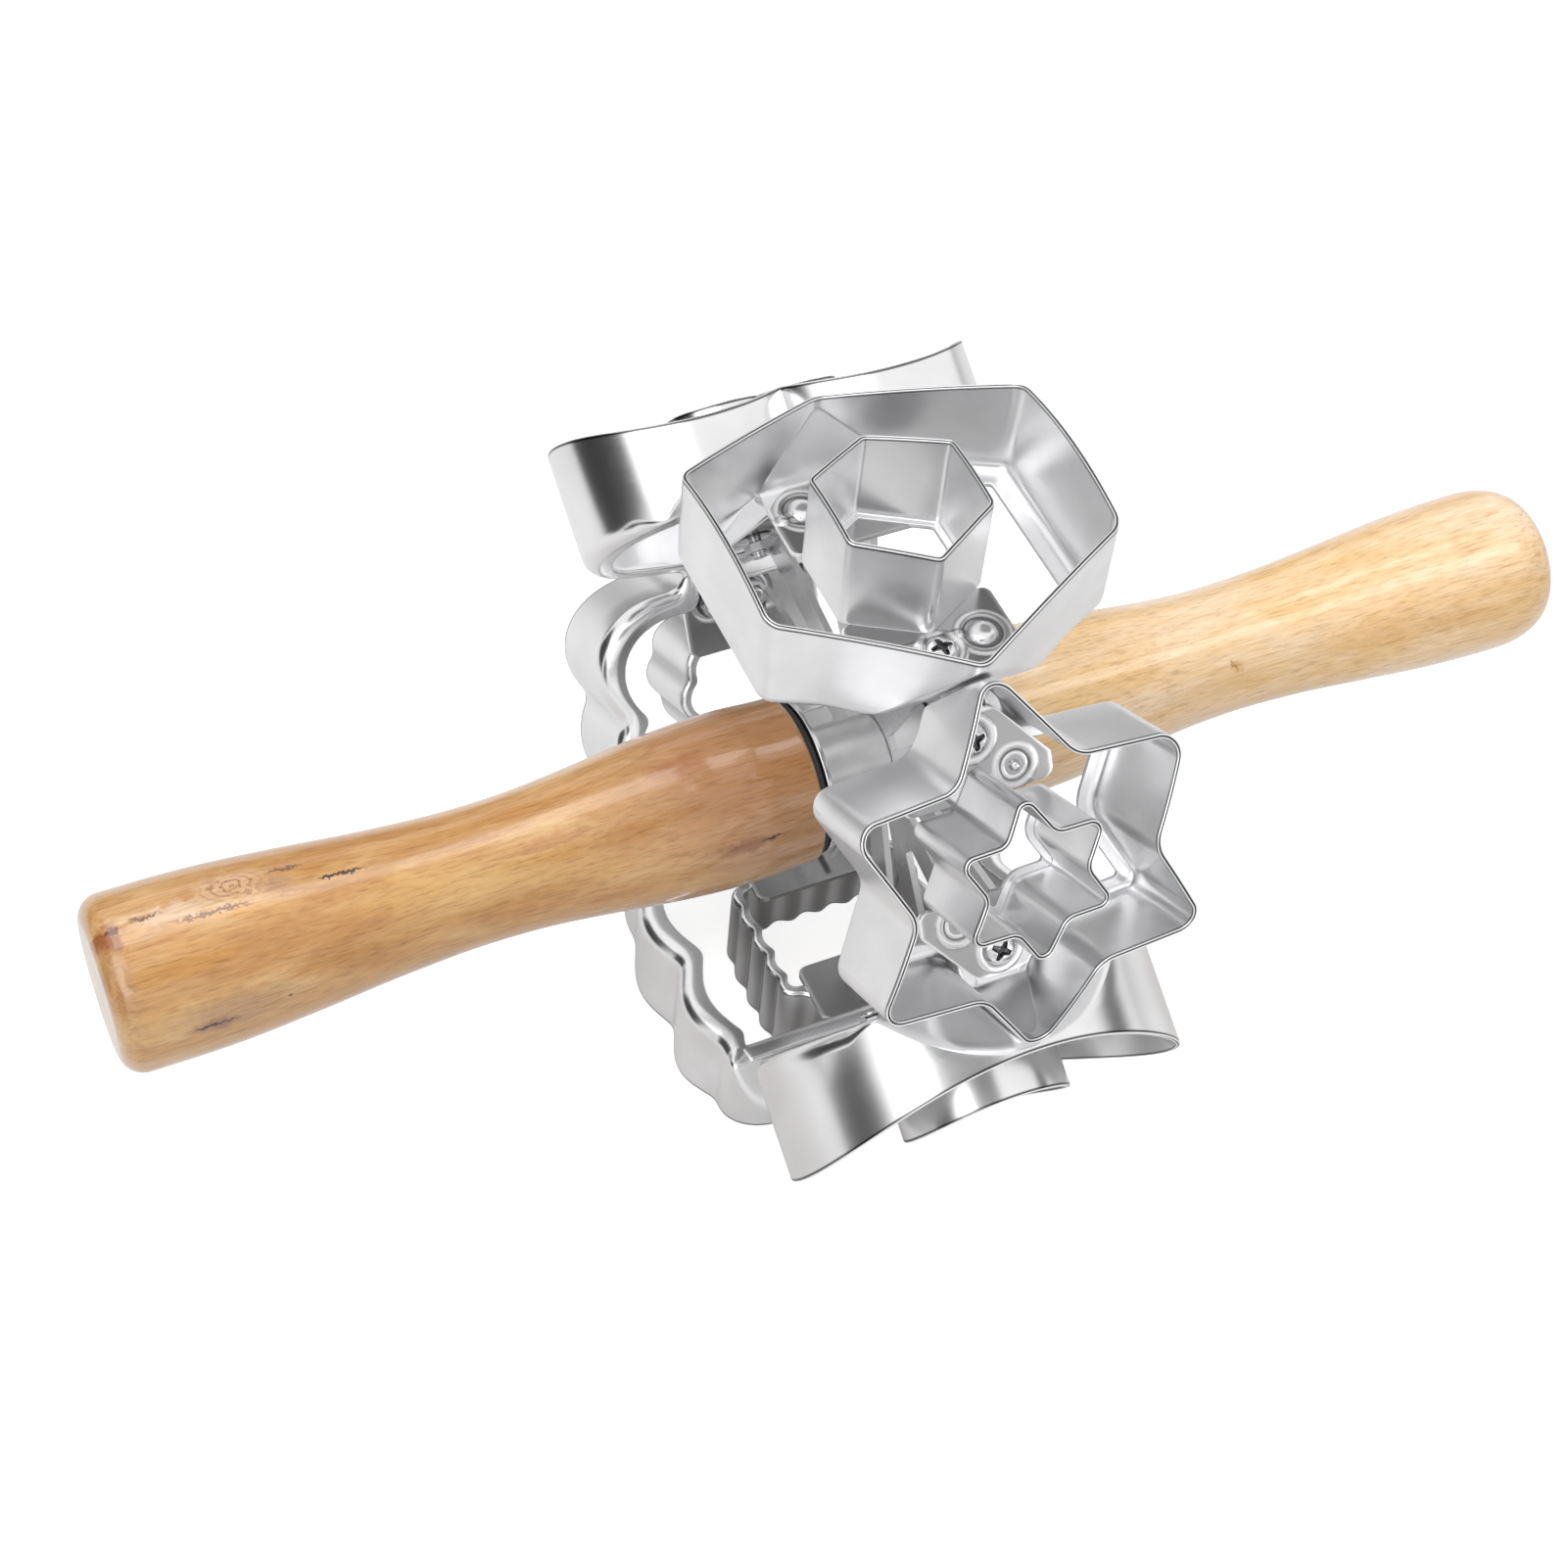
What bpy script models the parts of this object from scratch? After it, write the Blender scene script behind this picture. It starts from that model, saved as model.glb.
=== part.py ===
"""Six-in-one doughnut cutter roller: a wheel of six pastry cutters on an axle between two wooden handles.

The frame is metres, +Z up. The axle lies along X with the wheel's centre at the origin. The hexagonal
cutter faces +Z at rest, and the other five follow it every 60 degrees about X. A cutter is drawn flat
in its own frame: x along the axle, y across the wheel, z the distance from the axle.
"""

import math

import bmesh
import bpy
from mathutils import Matrix, Vector

MM = 0.001

# Wheel
CUTTER_COUNT = 6
SHAPES = ("hexagon", "star", "round", "square", "flower", "heart")
EDGE_RADIUS = 65.0 * MM        # cutting edges lie on this rolling cylinder
BASE_HEIGHT = 43.5 * MM        # from the axle to the base sheet of each cutter
SHEET = 0.8 * MM               # cutter sheet steel
MITRE_GAP = 0.2 * MM           # each cutter keeps this far from the plane shared with its neighbour
TIP_MARGIN = 0.8 * MM          # least wall left where an outline comes near that plane
FLANGE_WIDTH = 5.0 * MM        # turned-in rim on the base of the outer cutters
STAR_FLANGE = 3.5 * MM         # the same rim on the star
HEART_FLANGE = 4.6 * MM        # the same rim on the heart
CREASE_FLANGE = 3.5 * MM       # the same rim at both ends, beside the webs
HOLE_FLANGE = 2.0 * MM         # turned-in rim on the base of the hole cutters
CLEARANCE = 0.3 * MM           # between pieces that seat on each other
LONGEST_SIDE = 9.0 * MM        # longest straight step along an outline

# Outer cutter outlines
HEXAGON_WIDTH = 61.0 * MM
HEXAGON_SIDE = 34.0 * MM
HEXAGON_ROUNDING = 3.6 * MM
STAR_VALLEY = 21.0 * MM
STAR_ROUNDING = 3.0 * MM
ROUND_HALF_WIDTH = 35.5 * MM
SQUARE_HALF_WIDTH = 36.2 * MM
SQUARE_SCALLOP = 3.0 * MM
SQUARE_CORNER = 11.0 * MM
FLOWER_HALF_WIDTH = 34.5 * MM
FLOWER_VALLEY_DEPTH = 6.0 * MM
HEART_LOBE_RADIUS = 20.6 * MM
HEART_LOBE_OFFSET = 17.2 * MM
HEART_LOBE_CENTRE = 7.4 * MM
HEART_SIDE_REACH = 26.0 * MM   # from the lobes' centres towards the tip
HEART_ROUNDING = 3.0 * MM
HEART_NOTCH_FLANGE = 2.0 * MM
LEAST_ROUNDING = 0.6 * MM      # corners of the openings in the base

# Hole cutter outlines
HOLE_HEXAGON_WIDTH = 25.4 * MM
HOLE_HEXAGON_SIDE = 15.0 * MM
HOLE_HEXAGON_REACH = 14.7 * MM
HOLE_STAR_REACH = 13.8 * MM
HOLE_STAR_VALLEY = 9.0 * MM
HOLE_ROUND_RADIUS = 15.0 * MM
HOLE_SQUARE_HALF_WIDTH = 18.0 * MM
HOLE_SQUARE_HALF_HEIGHT = 15.1 * MM
HOLE_SQUARE_SCALLOP = 1.0 * MM
HOLE_SQUARE_CORNER = 5.0 * MM
HOLE_FLOWER_HALF_WIDTH = 16.6 * MM
HOLE_FLOWER_HALF_HEIGHT = 15.1 * MM
HOLE_FLOWER_DEPTH = 1.4 * MM
HOLE_HEART_LOBE_RADIUS = 8.6 * MM
HOLE_HEART_LOBE_OFFSET = 7.3 * MM
HOLE_HEART_LOBE_CENTRE = 3.2 * MM
HOLE_HEART_SIDE_REACH = 10.5 * MM
HOLE_HEART_REACH = 14.0 * MM
HOLE_HEART_NOTCH_FLANGE = 1.5 * MM
HOLE_ROUNDING = 1.2 * MM

# Ears that carry the hole cutters
EAR_THICKNESS = 1.0 * MM
EAR_INNER_END = 8.3 * MM
EAR_OVERLAP = 1.9 * MM         # the ear stops this far inside the base crease
EAR_HALF_WIDTH = 13.2 * MM
EAR_TIP_HALF_WIDTH = 8.6 * MM
EAR_SHOULDER = 19.4 * MM
EAR_ROUNDING = 1.6 * MM
STAR_EAR_TIP_HALF_WIDTH = 4.2 * MM
STAR_EAR_SHOULDER = 12.6 * MM
HEART_EAR_NOTCH = 16.4 * MM    # the ear is cut back to here under the notch of the heart
HEART_EAR_NOTCH_WIDTH = 6.2 * MM

# Fasteners, with their places given from the middle of the cutter
SCREW_REACH = 18.4 * MM
HEART_SCREW_REACH = 13.5 * MM
SCREW_HEAD_RADIUS = 2.9 * MM
SCREW_HEAD_HEIGHT = 2.0 * MM
SCREW_SHANK_RADIUS = 1.25 * MM
SCREW_TAIL = 1.0 * MM          # shank showing under the foot
RIVET_OFFSET = 7.9 * MM
RIVET_REACH = 18.4 * MM
HEXAGON_RIVET_REACH = 17.2 * MM
STAR_RIVET_OFFSET = 6.6 * MM
STAR_RIVET_REACH = 12.0 * MM
HEART_RIVET_REACH = 15.6 * MM
RIVET_HEAD_RADIUS = 2.7 * MM
RIVET_HEAD_HEIGHT = 1.7 * MM
RIVET_SHANK_RADIUS = 1.2 * MM
RIVET_TAIL_RADIUS = 2.0 * MM
RIVET_TAIL_HEIGHT = 0.9 * MM

# Spider that joins the ears to the hub
SPIDER_SHEET = 1.2 * MM
SPIDER_FACE_X = 3.1 * MM       # right-hand face of the spider's plate
SPIDER_RING_WIDTH = 0.9 * MM
ARM_ROOT_ANGLE = math.radians(22.0)
FORK_HEIGHT = 18.0 * MM
FORK_ROOT_HALF_WIDTH = 1.6 * MM
FORK_OPENING = 11.0 * MM
PRONG_EDGE = 19.0 * MM
FOOT_RADIUS = 2.5 * MM         # round ends of the feet about the screw and the rivet
FOOT_THICKNESS = 1.5 * MM

# Hub and axle
TUBE_RADIUS = 7.5 * MM
TUBE_WALL = 1.2 * MM
ROD_RADIUS = 4.0 * MM
BUSH_LENGTH = 8.0 * MM
ROD_DEPTH = 48.0 * MM          # rod inside each handle
FACE_WASHER_RADIUS = 14.0 * MM
FACE_WASHER_THICKNESS = 1.0 * MM
CUSHION_RADIUS = 14.2 * MM
CUSHION_THICKNESS = 0.8 * MM

# Handles
HANDLE_GAP = 28.0 * MM         # between the two handles' inner ends
HANDLE_LENGTH = 120.5 * MM
HANDLE_INNER_RADIUS = 14.6 * MM
HANDLE_INNER_EDGE = 0.8 * MM
HANDLE_INNER_BULGE = 15.0 * MM
HANDLE_INNER_BULGE_AT = 11.0 * MM
HANDLE_WAIST_RADIUS = 11.6 * MM
HANDLE_WAIST_AT = 56.0 * MM
HANDLE_OUTER_BULGE = 14.9 * MM
HANDLE_OUTER_BULGE_AT = 110.0 * MM
HANDLE_END_ROUNDING = 4.0 * MM
BORE_DEPTH = 52.0 * MM

# Facets
ROUND_STEPS = 24
FASTENER_STEPS = 8
HOLE_STEPS = 6
OUTLINE_ROUND_STEPS = 36

# Values that follow from those above
SECTOR_HALF = math.pi / CUTTER_COUNT
TIP_REACH = EDGE_RADIUS * math.sin(SECTOR_HALF) - TIP_MARGIN
CREASE = (BASE_HEIGHT * math.sin(SECTOR_HALF) - MITRE_GAP) / math.cos(SECTOR_HALF)
OPENING_END = CREASE - CREASE_FLANGE
EAR_END = CREASE - EAR_OVERLAP
EAR_BOTTOM = BASE_HEIGHT + SHEET + CLEARANCE
EAR_TOP = EAR_BOTTOM + EAR_THICKNESS
HOLE_BASE_HEIGHT = EAR_TOP + CLEARANCE
FOOT_TOP = EAR_BOTTOM - CLEARANCE
FOOT_BOTTOM = FOOT_TOP - FOOT_THICKNESS
PRONG_TOP = BASE_HEIGHT - CLEARANCE
SPIDER_LEFT_X = SPIDER_FACE_X - SPIDER_SHEET
HANDLE_START = HANDLE_GAP / 2
CUSHION_START = HANDLE_START - CLEARANCE - CUSHION_THICKNESS
FACE_WASHER_START = CUSHION_START - CLEARANCE - FACE_WASHER_THICKNESS
TUBE_END = FACE_WASHER_START - CLEARANCE
ROD_BORE = ROD_RADIUS + CLEARANCE
TUBE_BORE = TUBE_RADIUS - TUBE_WALL
SCREW_HOLE = (SCREW_SHANK_RADIUS + CLEARANCE) / math.cos(math.pi / HOLE_STEPS)
RIVET_HOLE = (RIVET_SHANK_RADIUS + CLEARANCE) / math.cos(math.pi / HOLE_STEPS)

MATERIALS = {
    "bright_steel": ((0.80, 0.80, 0.82), 0.20, 1.0),
    "satin_steel": ((0.72, 0.72, 0.74), 0.34, 1.0),
    "dark_rubber": ((0.03, 0.03, 0.03), 0.70, 0.0),
    "bush_nylon": ((0.88, 0.87, 0.83), 0.50, 0.0),
    "amber_wood": ((0.66, 0.40, 0.17), 0.32, 0.0),
    "cream_wood": ((0.84, 0.62, 0.34), 0.32, 0.0),
}


# Scene helpers

def clear_scene():
    """Remove every object and collection that the scene starts with."""
    for item in list(bpy.data.objects):
        bpy.data.objects.remove(item, do_unlink=True)
    for group in list(bpy.data.collections):
        bpy.data.collections.remove(group)


def new_collection(name):
    group = bpy.data.collections.new(name)
    bpy.context.scene.collection.children.link(group)
    return group


def new_material(node_name, finish):
    """A material of its own for one piece, from the list of finishes."""
    colour, roughness, metallic = MATERIALS[finish]
    material = bpy.data.materials.new(node_name + "_" + finish)
    material.use_nodes = True
    shader = material.node_tree.nodes["Principled BSDF"]
    shader.inputs["Base Color"].default_value = (*colour, 1.0)
    shader.inputs["Roughness"].default_value = roughness
    shader.inputs["Metallic"].default_value = metallic
    return material


def new_object(name, mesh, finish, parent, collection):
    """Link a mesh as a named piece with its own material."""
    piece = bpy.data.objects.new(name, mesh)
    collection.objects.link(piece)
    mesh.materials.append(new_material(name, finish))
    piece.parent = parent
    return piece


def mesh_from(bm, name):
    """Turn a bmesh into a mesh with its faces pointing out."""
    mesh = bpy.data.meshes.new(name)
    bm.normal_update()
    bm.to_mesh(mesh)
    bm.free()
    return mesh


def shade_round(piece, degrees=35.0):
    piece.data.shade_smooth()
    piece.data.set_sharp_from_angle(angle=math.radians(degrees))


def add_wall(piece, thickness):
    """Thicken an open sheet inwards."""
    wall = piece.modifiers.new("wall", "SOLIDIFY")
    wall.thickness = thickness
    wall.offset = -1.0


def add_turning(piece, steps):
    """Turn a profile about the piece's own Z axis."""
    turned = piece.modifiers.new("turned", "SCREW")
    turned.axis = "Z"
    turned.steps = steps
    turned.render_steps = steps
    turned.use_merge_vertices = True
    turned.merge_threshold = 0.00005
    turned.use_smooth_shade = True


def sector_turn(index):
    """Turn about the axle that brings a cutter's own frame to its place on the wheel."""
    return 2 * math.pi * index / CUTTER_COUNT


# Outlines, as lists of (x, y) points that run anticlockwise seen from outside the wheel.
# The inset moves an outline inwards without changing its number of points.

def inset_corners(corners, inset):
    """Move the corners (x, y, radius) of a straight-sided outline inwards."""
    moved = []
    count = len(corners)
    for index, (x, y, radius) in enumerate(corners):
        before = Vector(corners[index - 1][:2])
        after = Vector(corners[(index + 1) % count][:2])
        corner = Vector((x, y))
        first = (corner - before).normalized()
        second = (after - corner).normalized()
        left = Vector((-first.y - second.y, first.x + second.x)).normalized()
        reach = inset / left.dot(Vector((-first.y, first.x)))
        turn = first.x * second.y - first.y * second.x
        rounding = max(radius - inset, min(radius, LEAST_ROUNDING)) if turn > 0 else radius + inset
        moved.append((x + left.x * reach, y + left.y * reach, rounding))
    return moved


def rounded_outline(corners, steps):
    """Straight sides with each corner (x, y, radius) replaced by an arc tangent to both sides."""
    points = []
    count = len(corners)
    for index, (x, y, radius) in enumerate(corners):
        corner = Vector((x, y))
        back = (Vector(corners[index - 1][:2]) - corner).normalized()
        ahead = (Vector(corners[(index + 1) % count][:2]) - corner).normalized()
        if radius == 0.0:
            points.append((x, y))
            continue
        half = back.angle(ahead) / 2
        centre = corner + (back + ahead).normalized() * (radius / math.sin(half))
        first = corner + back * (radius / math.tan(half)) - centre
        last = corner + ahead * (radius / math.tan(half)) - centre
        sweep = first.angle_signed(last)
        for step in range(steps + 1):
            turned = Matrix.Rotation(-sweep * step / steps, 2) @ first
            points.append(tuple(centre + turned))
    return points


def hexagon_outline(width, side, reach, rounding, inset):
    """Hexagon with two sides across the axle and a vertex towards each neighbouring cutter."""
    half = width / 2
    corners = [(half, -side / 2), (half, side / 2), (0.0, reach)]
    corners += [(-half, side / 2), (-half, -side / 2), (0.0, -reach)]
    return rounded_outline(inset_corners([(x, y, rounding) for x, y in corners], inset), 3)


def star_outline(reach, valley, rounding, inset):
    """Six-pointed star whose rounded tips end at the reach."""
    half_tip = math.atan2(valley * math.sin(SECTOR_HALF), reach - valley * math.cos(SECTOR_HALF))
    sharp_tip = reach + rounding * (1 / math.sin(half_tip) - 1)
    corners = []
    for index in range(6):
        tip = math.pi / 2 + index * math.pi / 3
        dip = tip + math.pi / 6
        corners.append((sharp_tip * math.cos(tip), sharp_tip * math.sin(tip), rounding))
        corners.append((valley * math.cos(dip), valley * math.sin(dip), rounding))
    return rounded_outline(inset_corners(corners, inset), 3)


def round_outline(half_width, reach, steps, inset):
    """Circle in the rolled-out dough, so a slight oval on the wheel."""
    angles = [2 * math.pi * (step + 0.5) / steps for step in range(steps)]
    return [((half_width - inset) * math.cos(a), (reach - inset) * math.sin(a)) for a in angles]


def scalloped_outline(half_width, half_height, corner, depth, lobes, phase, steps, inset):
    """Rounded square whose sides swell out in a number of lobes for each quarter."""
    flat_x = half_width - depth - corner
    flat_y = half_height - depth - corner
    arc = corner * math.pi / 2
    quarter = flat_y + arc + flat_x
    points = []
    for turn in range(4):
        for step in range(steps * lobes):
            share = step / (steps * lobes)
            along = share * quarter if turn % 2 == 0 else (1 - share) * quarter
            swell = depth * abs(math.sin(math.pi * lobes * along / quarter + phase)) - inset
            angle = min(max((along - flat_y) / corner, 0.0), math.pi / 2)
            x = min(flat_x, quarter - along) + (corner + swell) * math.cos(angle)
            y = min(flat_y, along) + (corner + swell) * math.sin(angle)
            sign_x = 1 if turn in (0, 3) else -1
            sign_y = 1 if turn in (0, 1) else -1
            points.append((sign_x * x, sign_y * y))
    return points


def petal_outline(half_width, half_height, depth, petals, phase, steps, inset):
    """Flower whose radius dips between its petals."""
    points = []
    for step in range(petals * steps):
        angle = 2 * math.pi * step / (petals * steps)
        dip = depth * (1 - abs(math.cos(petals * angle / 2 + phase))) + inset
        points.append(((half_width - dip) * math.cos(angle), (half_height - dip) * math.sin(angle)))
    return points


def heart_outline(lobe_radius, lobe_offset, lobe_centre, side_reach, tip, rounding, notch_flange, steps, inset):
    """Two lobes towards -y and a rounded tip at +y."""
    squeeze = lobe_radius / side_reach
    notch = math.asin(lobe_offset / lobe_radius)
    notch_depth = lobe_centre + lobe_radius * math.cos(notch)
    to_tip = math.hypot(lobe_offset, (lobe_centre + tip) * squeeze)
    end = math.atan2(lobe_offset, (lobe_centre + tip) * squeeze) + math.asin(lobe_radius / to_tip)
    right = [(0.0, -notch_depth + min(inset, notch_flange))]
    for step in range(1, steps + 1):
        angle = -math.pi / 2 - notch + (math.pi / 2 + notch + end) * step / steps
        reach = lobe_radius if angle < 0 else side_reach
        x = lobe_offset + (lobe_radius - inset) * math.cos(angle)
        y = -lobe_centre + (reach - inset) * math.sin(angle)
        right.append((x, y))
    left = [(-x, y) for x, y in reversed(right[1:])]
    half_tip = math.atan2(lobe_offset + lobe_radius * math.cos(end), tip + lobe_centre - side_reach * math.sin(end))
    blunt = rounding * (1 / math.sin(half_tip) - 1)
    sharp_tip = tip + blunt - inset / math.sin(half_tip)
    radius = max(rounding - inset, LEAST_ROUNDING)
    return right + rounded_outline([(*right[-1], 0.0), (0.0, sharp_tip, radius), (*left[0], 0.0)], 3)[1:5] + left


def outer_outline(shape, inset):
    """Outline of an outer cutter's wall, or with an inset of the opening in its base."""
    if shape == "hexagon":
        return hexagon_outline(HEXAGON_WIDTH, HEXAGON_SIDE, TIP_REACH, HEXAGON_ROUNDING, inset)
    if shape == "star":
        return star_outline(TIP_REACH, STAR_VALLEY, STAR_ROUNDING, inset)
    if shape == "round":
        return round_outline(ROUND_HALF_WIDTH, TIP_REACH, OUTLINE_ROUND_STEPS, inset)
    if shape == "square":
        return scalloped_outline(SQUARE_HALF_WIDTH, TIP_REACH, SQUARE_CORNER, SQUARE_SCALLOP, 3, 0.0, 5, inset)
    if shape == "flower":
        return petal_outline(FLOWER_HALF_WIDTH, TIP_REACH, FLOWER_VALLEY_DEPTH, 6, math.pi / 2, 8, inset)
    return heart_outline(HEART_LOBE_RADIUS, HEART_LOBE_OFFSET, HEART_LOBE_CENTRE, HEART_SIDE_REACH,
                         TIP_REACH, HEART_ROUNDING, HEART_NOTCH_FLANGE, 13, inset)


def hole_outline(shape, inset):
    """Outline of a hole cutter's wall, or with an inset of the opening in its base."""
    if shape == "hexagon":
        return hexagon_outline(HOLE_HEXAGON_WIDTH, HOLE_HEXAGON_SIDE, HOLE_HEXAGON_REACH, HOLE_ROUNDING, inset)
    if shape == "star":
        return star_outline(HOLE_STAR_REACH, HOLE_STAR_VALLEY, HOLE_ROUNDING, inset)
    if shape == "round":
        return round_outline(HOLE_ROUND_RADIUS, HOLE_ROUND_RADIUS, ROUND_STEPS, inset)
    if shape == "square":
        return scalloped_outline(HOLE_SQUARE_HALF_WIDTH, HOLE_SQUARE_HALF_HEIGHT, HOLE_SQUARE_CORNER,
                                 HOLE_SQUARE_SCALLOP, 5, math.pi / 2, 2, inset)
    if shape == "flower":
        return petal_outline(HOLE_FLOWER_HALF_WIDTH, HOLE_FLOWER_HALF_HEIGHT, HOLE_FLOWER_DEPTH, 10, 0.0, 4, inset)
    return heart_outline(HOLE_HEART_LOBE_RADIUS, HOLE_HEART_LOBE_OFFSET, HOLE_HEART_LOBE_CENTRE,
                         HOLE_HEART_SIDE_REACH, HOLE_HEART_REACH, HOLE_ROUNDING, HOLE_HEART_NOTCH_FLANGE, 8, inset)


def ear_outline(shape, side):
    """Outline of the ear on one side (-1 or 1) of a cutter."""
    tip_half = STAR_EAR_TIP_HALF_WIDTH if shape == "star" else EAR_TIP_HALF_WIDTH
    shoulder = STAR_EAR_SHOULDER if shape == "star" else EAR_SHOULDER
    corners = [(EAR_HALF_WIDTH, EAR_INNER_END), (EAR_HALF_WIDTH, shoulder), (tip_half, EAR_END)]
    if shape == "heart" and side < 0:
        corners += [(HEART_EAR_NOTCH_WIDTH, EAR_END), (0.0, HEART_EAR_NOTCH), (-HEART_EAR_NOTCH_WIDTH, EAR_END)]
    corners += [(-tip_half, EAR_END), (-EAR_HALF_WIDTH, shoulder), (-EAR_HALF_WIDTH, EAR_INNER_END)]
    placed = [(side * x, side * y, EAR_ROUNDING if abs(x) > HEART_EAR_NOTCH_WIDTH / 2 else 0.0) for x, y in corners]
    return rounded_outline(placed, 2)


def circle_outline(centre, radius, steps):
    """Regular outline round a centre, run clockwise or anticlockwise alike as a hole."""
    angles = [2 * math.pi * step / steps for step in range(steps)]
    return [(centre[0] + radius * math.cos(a), centre[1] + radius * math.sin(a)) for a in angles]


def capsule_outline(first, second, radius, steps):
    """Strip with round ends about two centres."""
    along = math.atan2(second[1] - first[1], second[0] - first[0])
    points = []
    for centre, start in ((second, along - math.pi / 2), (first, along + math.pi / 2)):
        for step in range(steps + 1):
            angle = start + math.pi * step / steps
            points.append((centre[0] + radius * math.cos(angle), centre[1] + radius * math.sin(angle)))
    return points


# Mesh builders

def add_band(bm, low_ring, high_ring):
    """Faces between two matched rings of vertices."""
    for index in range(len(low_ring)):
        after = (index + 1) % len(low_ring)
        bm.faces.new((low_ring[index], low_ring[after], high_ring[after], high_ring[index]))


def add_plate(bm, loops, low, high, placement):
    """Flat plate between two heights; the first loop is its outline and the others are holes."""
    plate = bmesh.new()
    edges = []
    for loop in loops:
        ring = [plate.verts.new((x, y, low)) for x, y in loop]
        edges += [plate.edges.new((ring[index - 1], ring[index])) for index in range(len(ring))]
    bmesh.ops.triangle_fill(plate, edges=edges, use_beauty=True, use_dissolve=False)
    raised = bmesh.ops.extrude_face_region(plate, geom=list(plate.faces))
    top = [part for part in raised["geom"] if isinstance(part, bmesh.types.BMVert)]
    bmesh.ops.translate(plate, vec=(0.0, 0.0, high - low), verts=top)
    bmesh.ops.recalc_face_normals(plate, faces=list(plate.faces))
    add_placed(bm, plate, placement)


def add_placed(bm, part, placement):
    """Join a separate solid into a mesh at its place."""
    part.transform(placement)
    holder = bpy.data.meshes.new("holder")
    part.to_mesh(holder)
    part.free()
    bm.from_mesh(holder)
    bpy.data.meshes.remove(holder)


def roof(y):
    """Height of the base at a distance across the wheel, following the mitre outside the crease."""
    mitre = (MITRE_GAP + abs(y) * math.cos(SECTOR_HALF)) / math.sin(SECTOR_HALF)
    return max(BASE_HEIGHT, mitre)


def divide_together(outline, opening, longest, crease):
    """Divide matched outlines at long sides and where the first of them crosses the crease."""
    snapped = [(x, math.copysign(crease, y)) if abs(abs(y) - crease) < 0.5 * MM else (x, y) for x, y in outline]
    first, second = [], []
    count = len(snapped)
    for index in range(count):
        start, end = snapped[index], snapped[(index + 1) % count]
        pieces = max(1, math.ceil(math.dist(start, end) / longest))
        shares = [step / pieces for step in range(pieces)]
        for line in (-crease, crease):
            if (start[1] - line) * (end[1] - line) < 0:
                crossing = (line - start[1]) / (end[1] - start[1])
                shares = [share for share in shares if share == 0 or abs(share - crossing) > 0.3 / pieces]
                shares.append(crossing)
        inner_start, inner_end = opening[index], opening[(index + 1) % count]
        for share in sorted(shares):
            first.append(tuple(a + (b - a) * share for a, b in zip(start, end)))
            second.append(tuple(a + (b - a) * share for a, b in zip(inner_start, inner_end)))
    return first, second


def base_loops(outline, opening):
    """Heights and folds of an outer cutter's base: its opening, its crease line and its outline."""
    fold_share = 0.45
    hole, fold = [], []
    for outer, inner in zip(outline, opening):
        limit = min(OPENING_END, max(-OPENING_END, inner[1]))
        hole.append((inner[0], limit))
        x = outer[0] + (inner[0] - outer[0]) * fold_share
        y = outer[1] + (limit - outer[1]) * fold_share
        fold.append((x, min(CREASE, max(-CREASE, y))))
    count = len(outline)
    on_crease = [index for index in range(count) if abs(abs(outline[index][1]) - CREASE) < 0.001 * MM]
    for index in on_crease:
        fold[index] = (fold[index][0], outline[index][1])
    for position, start in enumerate(on_crease):
        end = on_crease[(position + 1) % len(on_crease)]
        span = (end - start) % count
        if abs(outline[(start + 1) % count][1]) <= CREASE or span < 2:
            continue
        side = math.copysign(1.0, outline[start][1])
        for step in range(1, span):
            index = (start + step) % count
            share = step / span
            fold[index] = (fold[start][0] + (fold[end][0] - fold[start][0]) * share, side * CREASE)
            hole[index] = (hole[start][0] + (hole[end][0] - hole[start][0]) * share, side * OPENING_END)
    return hole, fold


def build_outer_cutter(shape, turn, parent, collection):
    """Sheet wall up to the cutting edge, with webs along the mitres and a turned-in base rim."""
    flange = {"star": STAR_FLANGE, "heart": HEART_FLANGE}.get(shape, FLANGE_WIDTH)
    outline, opening = divide_together(outer_outline(shape, 0.0), outer_outline(shape, flange),
                                       LONGEST_SIDE, CREASE)
    hole, fold = base_loops(outline, opening)
    bm = bmesh.new()
    hole_ring = [bm.verts.new((x, y, BASE_HEIGHT)) for x, y in hole]
    fold_ring = [bm.verts.new((x, y, BASE_HEIGHT)) for x, y in fold]
    base_ring = [bm.verts.new((x, y, roof(y))) for x, y in outline]
    edge_ring = [bm.verts.new((x, y, math.sqrt(EDGE_RADIUS**2 - y**2))) for x, y in outline]
    add_band(bm, hole_ring, fold_ring)
    add_band(bm, fold_ring, base_ring)
    add_band(bm, base_ring, edge_ring)
    piece = new_object("cutter_" + shape, mesh_from(bm, "cutter_" + shape), "bright_steel", parent, collection)
    piece.rotation_euler = (turn, 0.0, 0.0)
    add_wall(piece, SHEET)
    shade_round(piece)


def build_hole_cutter(shape, turn, parent, collection):
    """Small sheet ring that cuts the hole, standing on its turned-in rim on the ears."""
    outline, opening = divide_together(hole_outline(shape, 0.0), hole_outline(shape, HOLE_FLANGE),
                                       LONGEST_SIDE, EDGE_RADIUS)
    bm = bmesh.new()
    hole_ring = [bm.verts.new((x, y, HOLE_BASE_HEIGHT)) for x, y in opening]
    base_ring = [bm.verts.new((x, y, HOLE_BASE_HEIGHT)) for x, y in outline]
    edge_ring = [bm.verts.new((x, y, math.sqrt(EDGE_RADIUS**2 - y**2))) for x, y in outline]
    add_band(bm, hole_ring, base_ring)
    add_band(bm, base_ring, edge_ring)
    name = "hole_cutter_" + shape
    piece = new_object(name, mesh_from(bm, name), "bright_steel", parent, collection)
    piece.rotation_euler = (turn, 0.0, 0.0)
    add_wall(piece, SHEET)
    shade_round(piece)


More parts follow.
